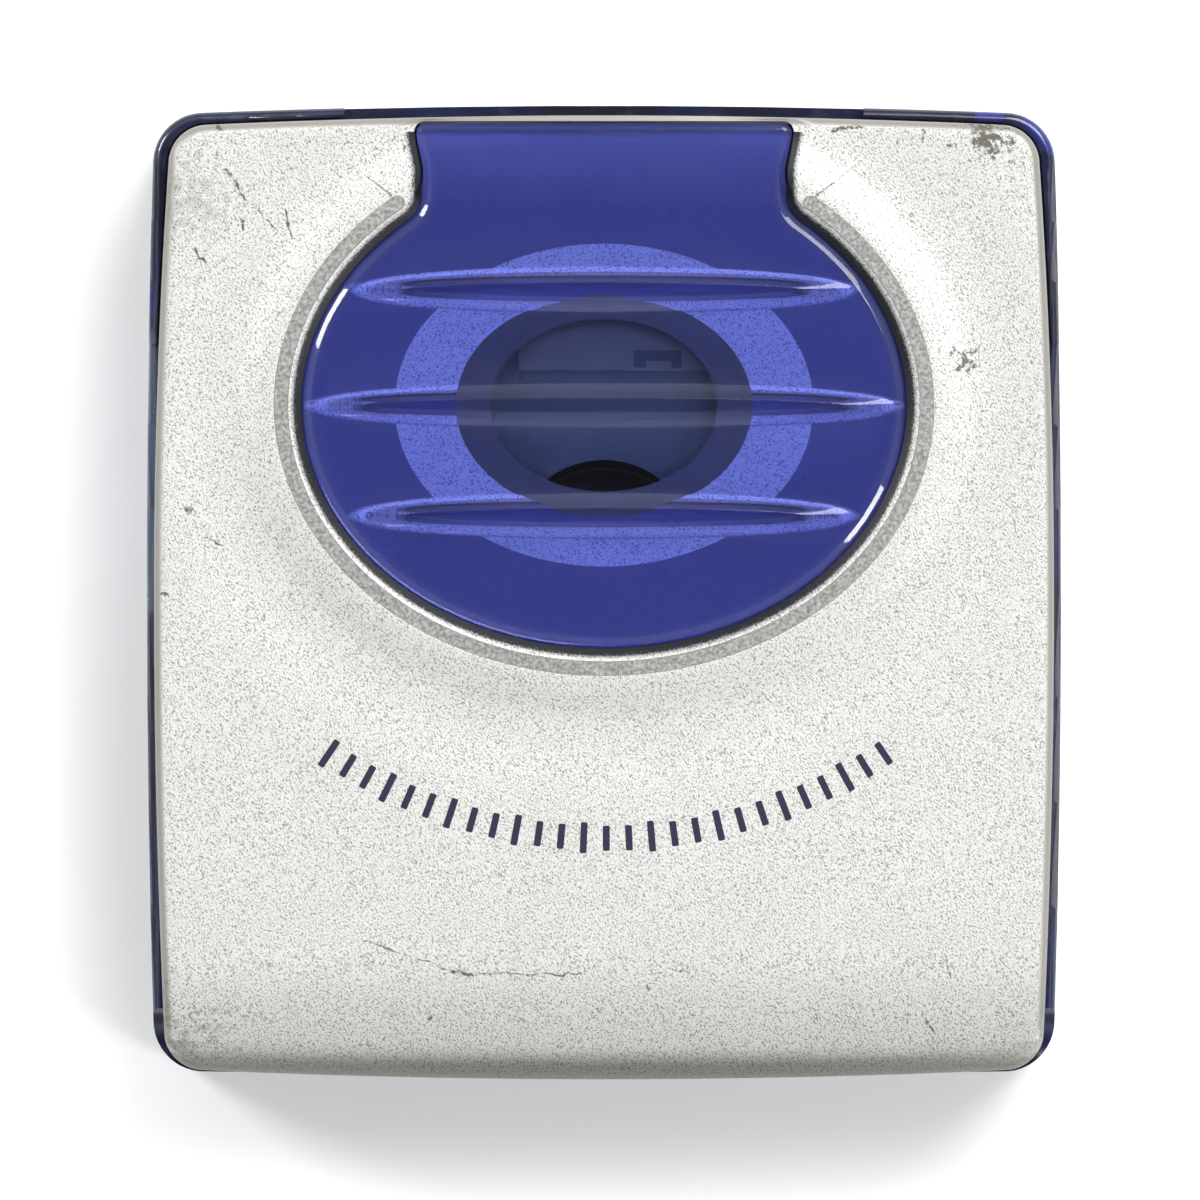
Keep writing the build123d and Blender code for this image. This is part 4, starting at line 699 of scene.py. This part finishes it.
# %% Places along a row
LIP_HALF, LIP_LOW, SKIRT_LOW = 22.5, 10.2, 13.6
EDGE_R, BRIM, LEDGE, INNER_R = 0.8, 1.4, 0.6, 0.35
SLOPE_RUN, NECK_SLOPE_RUN = 1.15, 0.12
ROOM_NEEDED, LAST_ROW_IN, INNER_DROP = 2.6, 3.3, 0.3
turns = np.arctan2(HOLE_POINTS[:, 1] - CENTRE[1], HOLE_POINTS[:, 0])
corner_turns = np.arctan2(LID_POINTS[:, 1] - CENTRE[1], LID_POINTS[:, 0])
in_corner = (np.abs(LID_WAYS[:, 0]) > 0.12) & (np.abs(LID_WAYS[:, 1]) > 0.12)
lip_ends = [side * (LIP_HALF + gap) for side in (1, -1) for gap in (-0.02, 0.02)]
lip_turns = [atan2(LID_FRONT - CENTRE[1], x) for x in lip_ends]
turns = np.unique(np.round(np.concatenate([turns, corner_turns[in_corner][::2], lip_turns]), 5))
hole, hole_way = read_at(turns, HOLE_POINTS, HOLE_WAYS)
edge, edge_way = read_at(turns, LID_POINTS, LID_WAYS)
room = np.linalg.norm(edge - hole, axis=1)
print("points in a row:", len(turns), "least room:", round(float(room.min()), 2))


# %% Rows of the lid
def lid_rows():
    """The rows of the lid's skin, each an array of x, y, z in mm, squeezed together where room is short."""
    at_back = smooth((-edge_way[:, 1] - 0.1) / 0.9)
    rim = EDGE_R + (ROLL - EDGE_R) * at_back
    squeeze = np.minimum(1, room / (rim + ROOM_NEEDED))
    rim = np.minimum(rim, 0.8 * room) * squeeze
    on_neck = smooth((hole[:, 1] - 32.5) / 4.0)
    slope = (SLOPE_RUN * (1 - on_neck) + NECK_SLOPE_RUN * on_neck) * squeeze
    bottom = np.where((np.abs(edge[:, 0]) < LIP_HALF) & (edge_way[:, 1] > 0.5), LIP_LOW, SKIRT_LOW)
    rows = []

    def lay(points, height):
        """A row of points at one height, or at a height for each."""
        rows.append(np.column_stack([points, np.broadcast_to(height, len(points))]))

    def inside(depth):
        """The lid's edge moved inwards."""
        return edge - edge_way * np.reshape(depth, (-1, 1))

    def beside(step):
        """The window's edge moved outwards."""
        return hole + hole_way * np.reshape(step, (-1, 1))

    def wind(curl, drop):
        """A row that is part of the roll at the hinge and part of the skirt elsewhere."""
        rows.append(drop + (curl - drop) * at_back[:, None])

    # The window's edge, its slope, which carries painted shade, and the flat brim beside it.
    low = LID_UNDER + LEDGE
    lay(hole, LID_UNDER)
    lay(hole, low)
    for share in (0.5, 1.0):
        points = beside(slope * share)
        lay(points, low + (lid_height(*points.T) - low) * share)
    for step in (0.05, 0.35, 0.75, 1.15, BRIM):
        points = beside(slope + step * squeeze)
        lay(points, lid_height(*points.T))
    # Across the lid, closer together near the window, and over the rounded edge.
    last = beside(slope + BRIM * squeeze)
    first = inside(np.minimum(rim + 0.2, LAST_ROW_IN))
    for share in (np.arange(1, 44) / 44) ** 1.45:
        points = last + (first - last) * share
        lay(points, lid_height(*points.T))
    rim_top = lid_height(*inside(rim).T)
    for turn in np.radians([4, 12, 22, 34, 46, 58, 70, 80, 90]):
        lay(inside(rim * (1 - sin(turn))), rim_top - rim * (1 - cos(turn)))
    # Down the skirt, or on round the roll, and back up on the inner side of the wall.
    for share in (0.2, 0.4, 0.6, 0.8, 1.0):
        turn = radians(90 + 60 * share)
        curl = np.column_stack([inside(rim * (1 - sin(turn))), rim_top - rim * (1 - cos(turn))])
        wind(curl, np.column_stack([edge, (rim_top - rim) * (1 - share) + bottom * share]))
    wall = np.minimum(LID_WALL, 0.5 * room)

    def under_roll(turn):
        """The inner side of the roll."""
        return np.column_stack(
            [inside(rim - (rim - wall) * sin(turn)), rim_top - rim + (rim - wall) * cos(turn)]
        )

    for share in (1.0, 0.8, 0.6, 0.4, 0.2, 0.0):
        height = (rim_top - rim - INNER_DROP) * (1 - share) + bottom * share
        wind(under_roll(radians(90 + 60 * share)), np.column_stack([inside(wall), height]))
    for turn in np.radians([60, 30, 0]):
        depth, height = wall + INNER_R * cos(turn), rim_top - wall - INNER_R * (1 - cos(turn))
        wind(under_roll(turn), np.column_stack([inside(depth), height]))
    # Under the ceiling, back to the window.
    start = rows[-1]
    goal = np.column_stack([hole, np.full(len(hole), LID_UNDER)])
    for share in (0.15, 0.3, 0.5, 0.7, 0.85):
        rows.append(start + (goal - start) * share)
    return rows


rows_of_lid = lid_rows()
print("rows of the lid:", len(rows_of_lid))


# %% From rows to a mesh
def finish_mesh(name, mesh, material, sharp):
    """Welds a mesh, turns its faces outwards, smooths it with sharp edges kept, and makes it an object."""
    form = bmesh.new()
    form.from_mesh(mesh)
    bmesh.ops.remove_doubles(form, verts=form.verts, dist=0.002 * MM)
    bmesh.ops.dissolve_degenerate(form, edges=form.edges, dist=0.001 * MM)
    bmesh.ops.recalc_face_normals(form, faces=form.faces)
    if form.calc_volume(signed=True) < 0:
        bmesh.ops.reverse_faces(form, faces=form.faces)
    form.to_mesh(mesh)
    form.free()
    mesh.polygons.foreach_set("use_smooth", [True] * len(mesh.polygons))
    mesh.set_sharp_from_angle(angle=radians(sharp))
    mesh.materials.append(material)
    made = bpy.data.objects.new(name, mesh)
    bpy.context.scene.collection.objects.link(made)
    return made


def skin(name, rows, material, sharp=35.0, ring=False):
    """A mesh from closed rows of points in mm: a ring of rows, or a face on the first and on the last."""
    count, around = len(rows), len(rows[0])
    faces = []
    for r in range(count if ring else count - 1):
        this, that = r * around, ((r + 1) % count) * around
        for c in range(around):
            d = (c + 1) % around
            faces.append((this + c, this + d, that + d, that + c))
    if not ring:
        faces.append(list(range(around))[::-1])
        faces.append([(count - 1) * around + c for c in range(around)])
    mesh = bpy.data.meshes.new(name)
    mesh.from_pydata((np.concatenate(rows) * MM).tolist(), [], faces)
    return finish_mesh(name, mesh, material, sharp)


lid = skin("pressed_lid", rows_of_lid, silver, ring=True)
print("lid squares:", len(lid.data.polygons))

# %% Wear that follows the lid's shape
SLOPE_SHADE_FROM, SLOPE_SHADE_RUN, SLOPE_SHADE_END_Y = 0.35, 1.05, 40.2
RIM_FROM, RIM_RUN = 0.45, 0.35
HINGE_SHADE_FROM_Y, ROLL_Y = -31.0, -42.0


def distances(places, line):
    """How far each place is from the nearest point of a line, in mm."""
    near = KDTree(len(line))
    for n, (x, y) in enumerate(line):
        near.insert((x, y, 0.0), n)
    near.balance()
    return np.array([near.find((x, y, 0.0))[2] for x, y in places])


def wear_on(mesh):
    """Stores on each point the painted shade of the slope and of the hinge end, and the smoother rim."""
    place = np.empty(len(mesh.vertices) * 3, dtype=np.float32)
    mesh.vertices.foreach_get("co", place)
    x, y, z = place.reshape(-1, 3).T.astype(float) / MM
    from_hole = distances(zip(x, y), HOLE_POINTS)
    from_edge = distances(zip(x, y), LID_POINTS)
    # Painted shade on the slope down to the window, up to the neck's end.
    slope_shade = (1 - smooth((from_hole - SLOPE_SHADE_FROM) / SLOPE_SHADE_RUN)) * (y < SLOPE_SHADE_END_Y)
    # Painted shade towards the hinge: a little from y = -31 mm on, most over the roll.
    back = 1 - smooth((y - ROLL_Y) / 3.0)
    hinge_shade_share = np.maximum(0.30 * smooth((HINGE_SHADE_FROM_Y - y) / 8.0), 0.85 * back)
    # The rim: smoother, and darker as painted shade. Every point more than 0.9 mm below the ceiling counts as rim.
    at_edge = 1 - smooth((from_edge - RIM_FROM) / RIM_RUN)
    rim = np.maximum(at_edge * smooth((y - ROLL_Y - 1.0) / 4.0), 0.6 * back)
    rim[z < LID_UNDER - 0.9] = 1.0
    for name, values in (("slope_shade", slope_shade), ("rim", rim), ("hinge_shade", hinge_shade_share)):
        mesh.attributes.new(name, "FLOAT", "POINT").data.foreach_set("value", values.astype(np.float32))


wear_on(lid.data)
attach(lid, "lid")
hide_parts("lid_shell")
print("points with soot:", sum(value.value > 0.5 for value in lid.data.attributes["slope_shade"].data))

# %% [markdown]
# ## The bright-cut band
# The band is a shallow bevel, 1.2 mm wide, cut in the brow of the mound after painting. It stops with
# round ends at the neck. It is laid as a thin bar along a grown oval, its edges let into the paint, with
# a darker bar a little wider and lower under it, which shows as a thin line of painted shade at each edge.

# %% Bright-cut band
BAND_MIDDLE, BAND_HALF, BAND_END_Y = 1.6, 0.6, 34.0
BAND_POINTS, CAP_POINTS = 420, 8
# A thin line of painted shade along both edges of the band.
band_edge_shade = moulded("band_edge_shade", "#66645A", "#8C8A7E", 0.7)


def band_rows(wide, low, high):
    """Cross-sections of a bar along the grown oval, from one round end past the bottom to the other."""
    long, short = OVAL_X + BAND_MIDDLE, OVAL_Y + BAND_MIDDLE
    end = np.arcsin((BAND_END_Y - CENTRE[1]) / short)
    cap = np.linspace(0.0, pi / 2, CAP_POINTS)[1:]
    first = end + wide / long * np.sin(cap[::-1])
    sweep = np.concatenate([first, np.linspace(end, -pi - end, BAND_POINTS), -pi - first[::-1]])
    half = np.concatenate([np.cos(cap[::-1]), np.ones(BAND_POINTS), np.cos(cap)]) * wide
    half = np.maximum(half, 0.02)
    edges = []
    for across, lift in ((-1.0, low), (-0.94, high), (0.94, high), (1.0, low)):
        x = (long + across * half) * np.cos(sweep)
        y = CENTRE[1] + (short + across * half) * np.sin(sweep)
        edges.append(np.column_stack([x, y, lid_height(x, y) + lift]))
    return np.stack(edges, axis=1)


band = skin("bright_cut_band", band_rows(BAND_HALF, -0.04, 0.03), band_metal, 30.0)
groove = skin("cut_shoulder", band_rows(BAND_HALF + 0.06, -0.05, 0.014), band_edge_shade, 30.0)
for piece in (band, groove):
    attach(piece, "lid")
print("band ends at y", BAND_END_Y)

# %% [markdown]
# ## The moulded window
# One piece of clear blue acrylic fills the hole: a flat plate with a bevelled edge, a flange under the lid,
# and three blades across it that stiffen it and guide a thumb. Plate and blades are made apart from rows
# and joined with a Boolean union, because light has to pass through one solid, not through walls inside.

# %% Window plate and blades
LENS_TOP, LENS_LOW = lens_high.z - BLADE_HIGH, lens_low.z + 0.02
EDGE_IN, FLANGE = -0.35, 1.2
# The bevel's tilt in degrees at each step inwards: a steep facet that catches a glint, then a shallow one.
BEVEL_STEPS = (0.0, 0.2, 0.4, 0.56, 0.62, 0.68, 0.76, 1.0, 1.25)
BEVEL_TILTS = (32, 30, 28.5, 27, 21, 14, 10, 9, 7)
# A blade's rows: how far in from foot to crest, and how high. The first is let into the plate.
BLADE_IN = (0, 0, 0.05, 0.9, 0.96, 1.03, 1.15)
BLADE_UP = (-0.125, 0, 0.03, 0.93, 0.975, 0.995, 1.0)


def plate_rows():
    """Rows of the plate: flange, wall and bevel. Flange and bevel get narrower towards the neck's end."""
    points, ways = window_line(EDGE_IN, 0.0)
    flange = FLANGE * (1 - smooth((points[:, 1] - 33.0) / 3.0))[:, None]
    rows = []
    for step, height in ((flange, LENS_LOW), (flange, LID_UNDER - 0.03), (0.0, LID_UNDER - 0.02)):
        rows.append(np.column_stack([points + ways * step, np.full(len(points), height)]))
    narrow = 1 - 0.5 * smooth((points[:, 1] - 38.0) / 2.5)[:, None]
    slopes = np.tan(np.radians((np.array(BEVEL_TILTS[1:]) + BEVEL_TILTS[:-1]) / 2))
    rise = np.concatenate([[0.0], np.cumsum(np.diff(BEVEL_STEPS) * slopes)])
    for step, height in zip(BEVEL_STEPS, LENS_TOP - rise[-1] + rise):
        rows.append(np.column_stack([points - ways * step * narrow, np.full(len(points), height)]))
    return rows


def blade_rows(y, half_length):
    """Closed rows of one blade, from its foot up both flanks to the rounded rim of its crest."""
    turn = np.linspace(0, 2 * pi, 193)[:-1]
    rows = []
    for share, lift in zip(BLADE_IN, BLADE_UP):
        x = (half_length - TIP_RUN * share) * np.cos(turn)
        across = (BLADE_HALF + (CREST_HALF - BLADE_HALF) * share) * np.sin(turn)
        rows.append(np.column_stack([x, y + across, np.full(len(turn), LENS_TOP + lift * BLADE_HIGH)]))
    return rows


print("rows of a blade:", len(blade_rows(*BLADES[0])))

# %% Plate and blades joined
window = skin("ribbed_window", plate_rows(), window_blue)
for y, half_length in BLADES:
    blade = skin("blade", blade_rows(y, half_length), window_blue)
    union = window.modifiers.new("blade", "BOOLEAN")
    union.operation, union.solver, union.object = "UNION", "EXACT", blade
    bpy.context.view_layer.update()
    shaped = window.evaluated_get(bpy.context.evaluated_depsgraph_get())
    joined = bpy.data.meshes.new_from_object(shaped)
    window.modifiers.clear()
    window.data = joined
    bpy.data.objects.remove(blade)
# Level faces are shaded flat, so that the bevel's smooth normals don't bleed into the top.
LEVEL = 0.9999
window.data.polygons.foreach_set("use_smooth", [face.normal.z < LEVEL for face in window.data.polygons])
window.data.set_sharp_from_angle(angle=radians(28))
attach(window, "lid")
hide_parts("window_lens")
print("window faces:", len(window.data.polygons), "materials", len(window.data.materials))

# %% [markdown]
# ## Printed marks
# A row of small dark marks is pad-printed in an arc below the window. They are thin pads of ink that
# follow the lid's height. Pads are laid as closed outlines at two heights, all in one mesh.

# %% Marks on the lid
MARK_MIDDLE, MARK_RADIUS, MARK_SWEEP, MARKS = (0.2, 21.8), 43.3, 34.0, 27
MARK_HALF, LONG_MARK_HALF, MARK_HALF_WIDE, MARK_CORNER = 1.1, 1.35, 0.3, 0.12


def ink():
    """Navy pad-printing ink: thin, slightly glossy, a little uneven."""
    material, tree, shader, place = finish("navy_ink", Roughness=0.45)
    grain = add(tree, "TexNoise", {"Vector": place, "Scale": 1 / 0.2, "Detail": 2.0})
    tone = add(
        tree, "Mix", {0: grain.outputs["Fac"], 6: linear("#121028"), 7: linear("#1D1B3A")}, data_type="RGBA"
    )
    tree.links.new(tone.outputs[2], shader.inputs["Base Color"])
    return material


def mark_outline(n):
    """The outline of one mark: a small bar with round corners that points away from the arc's middle."""
    turn = radians(-90 - MARK_SWEEP + 2 * MARK_SWEEP * n / (MARKS - 1))
    out = np.array([cos(turn), sin(turn)])
    across = np.array([-out[1], out[0]])
    middle = np.array(MARK_MIDDLE) + out * MARK_RADIUS
    u = MARK_HALF_WIDE - MARK_CORNER
    v = (MARK_HALF if n % 3 else LONG_MARK_HALF) - MARK_CORNER
    outline = []
    for sx, sy, first in ((1, 1, 0), (-1, 1, pi / 2), (-1, -1, pi), (1, -1, 3 * pi / 2)):
        for a in (first, first + pi / 4, first + pi / 2):
            sideways, along = sx * u + MARK_CORNER * cos(a), sy * v + MARK_CORNER * sin(a)
            outline.append(middle + across * sideways + out * along)
    return outline


def marks():
    """All the marks as one mesh, every third one longer."""
    points, faces = [], []
    for n in range(MARKS):
        outline = mark_outline(n)
        base, k = len(points), len(outline)
        for lift in (-0.02, 0.015):
            points += [(*p, float(lid_height(*p)) + lift) for p in outline]
        faces += [(base + i, base + (i + 1) % k, base + k + (i + 1) % k, base + k + i) for i in range(k)]
        faces += [[base + i for i in range(k)][::-1], [base + k + i for i in range(k)]]
    mesh = bpy.data.meshes.new("printed_marks")
    mesh.from_pydata((np.array(points) * MM).tolist(), [], faces)
    return finish_mesh("printed_marks", mesh, ink(), 60.0)


printed = marks()
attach(printed, "lid")
print("marks:", MARKS)

# %% [markdown]
# ## Table, light and camera
# The player lies on a white table in a white tent, as for a product picture. A big softbox at the far
# right models the mound, and two small low ones, left and right, put a glint on the window's bevel. The
# tent is brightest half way up. It is dark straight above, where the camera looks in, so that flat gloss
# stays clear, and dim low down, where the flanks of the blades would mirror it. The camera hangs 2.5 m up
# with a long lens, so the sides hardly show.

# %% Table
TABLE_HALF = 2.0
floor_material, _, shader, _ = finish("white_table", Roughness=0.7)
shader.inputs["Base Color"].default_value = linear("#F6F6F5")
corners = [(x * TABLE_HALF, y * TABLE_HALF, 0) for x, y in ((-1, -1), (1, -1), (1, 1), (-1, 1))]
mesh = bpy.data.meshes.new("table")
mesh.from_pydata(corners, [], [(0, 1, 2, 3)])
table = bpy.data.objects.new("table", mesh)
mesh.materials.append(floor_material)
bpy.context.scene.collection.objects.link(table)
print("table", 2 * TABLE_HALF, "m wide")


# %% Softboxes
def softbox(name, place, size, power):
    """A square area light aimed at the player, in metres and watts."""
    light = bpy.data.lights.new(name, "AREA")
    light.size, light.energy = size, power
    made = bpy.data.objects.new(name, light)
    made.location = place
    made.rotation_euler = (-Vector(place)).to_track_quat("-Z", "Y").to_euler()
    bpy.context.scene.collection.objects.link(made)
    return made


boxes = [
    softbox("key_light", (0.56, 0.84, 1.14), 0.9, 22.0),
    softbox("left_strip", (-0.53, 0.28, 0.40), 0.18, 2.4),
    softbox("right_strip", (0.52, -0.31, 0.40), 0.18, 2.1),
]
print("softboxes:", len(boxes))

# %% Tent
# Each range has the height or the place along Y where it starts and ends, and the brightness at both.
TENT_TOP = {1: 0.55, 2: 0.985, 3: 2.32, 4: 0.115}
TENT_FOOT = {1: 0.47, 2: 0.75, 3: 0.27, 4: 1.0}
TENT_FRONT = {1: -0.9, 2: 0.5, 3: 0.72, 4: 1.0}
world = bpy.data.worlds.new("studio")
bpy.context.scene.world = world
world.use_nodes = True
tree = world.node_tree
way = add(tree, "SeparateXYZ", {0: add(tree, "TexCoord").outputs["Generated"]})
high = add(tree, "MapRange", {"Value": way.outputs[2], **TENT_TOP})
low = add(tree, "MapRange", {"Value": way.outputs[2], **TENT_FOOT})
front = add(tree, "MapRange", {"Value": way.outputs[1], **TENT_FRONT})
tent = add(tree, "Math", {0: high.outputs[0], 1: low.outputs[0]}, operation="MULTIPLY")
light = add(tree, "Math", {0: tent.outputs[0], 1: front.outputs[0]}, operation="MULTIPLY")
sky = tree.nodes["Background"]
sky.inputs[0].default_value = linear("#F4F6FA")
tree.links.new(light.outputs[0], sky.inputs[1])
bpy.context.scene.view_settings.view_transform = "Standard"
print("tent lit by", sky.name)

# %% Camera
FRAME_PIXELS, MM_PER_PIXEL = 1200, 0.0873
CAMERA_HIGH, CAMERA_SIDE, CAMERA_BACK = 2500.0, -0.35, -0.70
camera_data = bpy.data.cameras.new("camera")
camera_data.sensor_width = 36.0
camera_data.lens = camera_data.sensor_width * CAMERA_HIGH / (FRAME_PIXELS * MM_PER_PIXEL)
camera = bpy.data.objects.new("camera", camera_data)
camera.location = Vector((CAMERA_SIDE, CAMERA_BACK, LID_TOP + CAMERA_HIGH)) * MM
bpy.context.scene.collection.objects.link(camera)
bpy.context.scene.camera = camera
print("lens", round(camera_data.lens, 1), "mm")
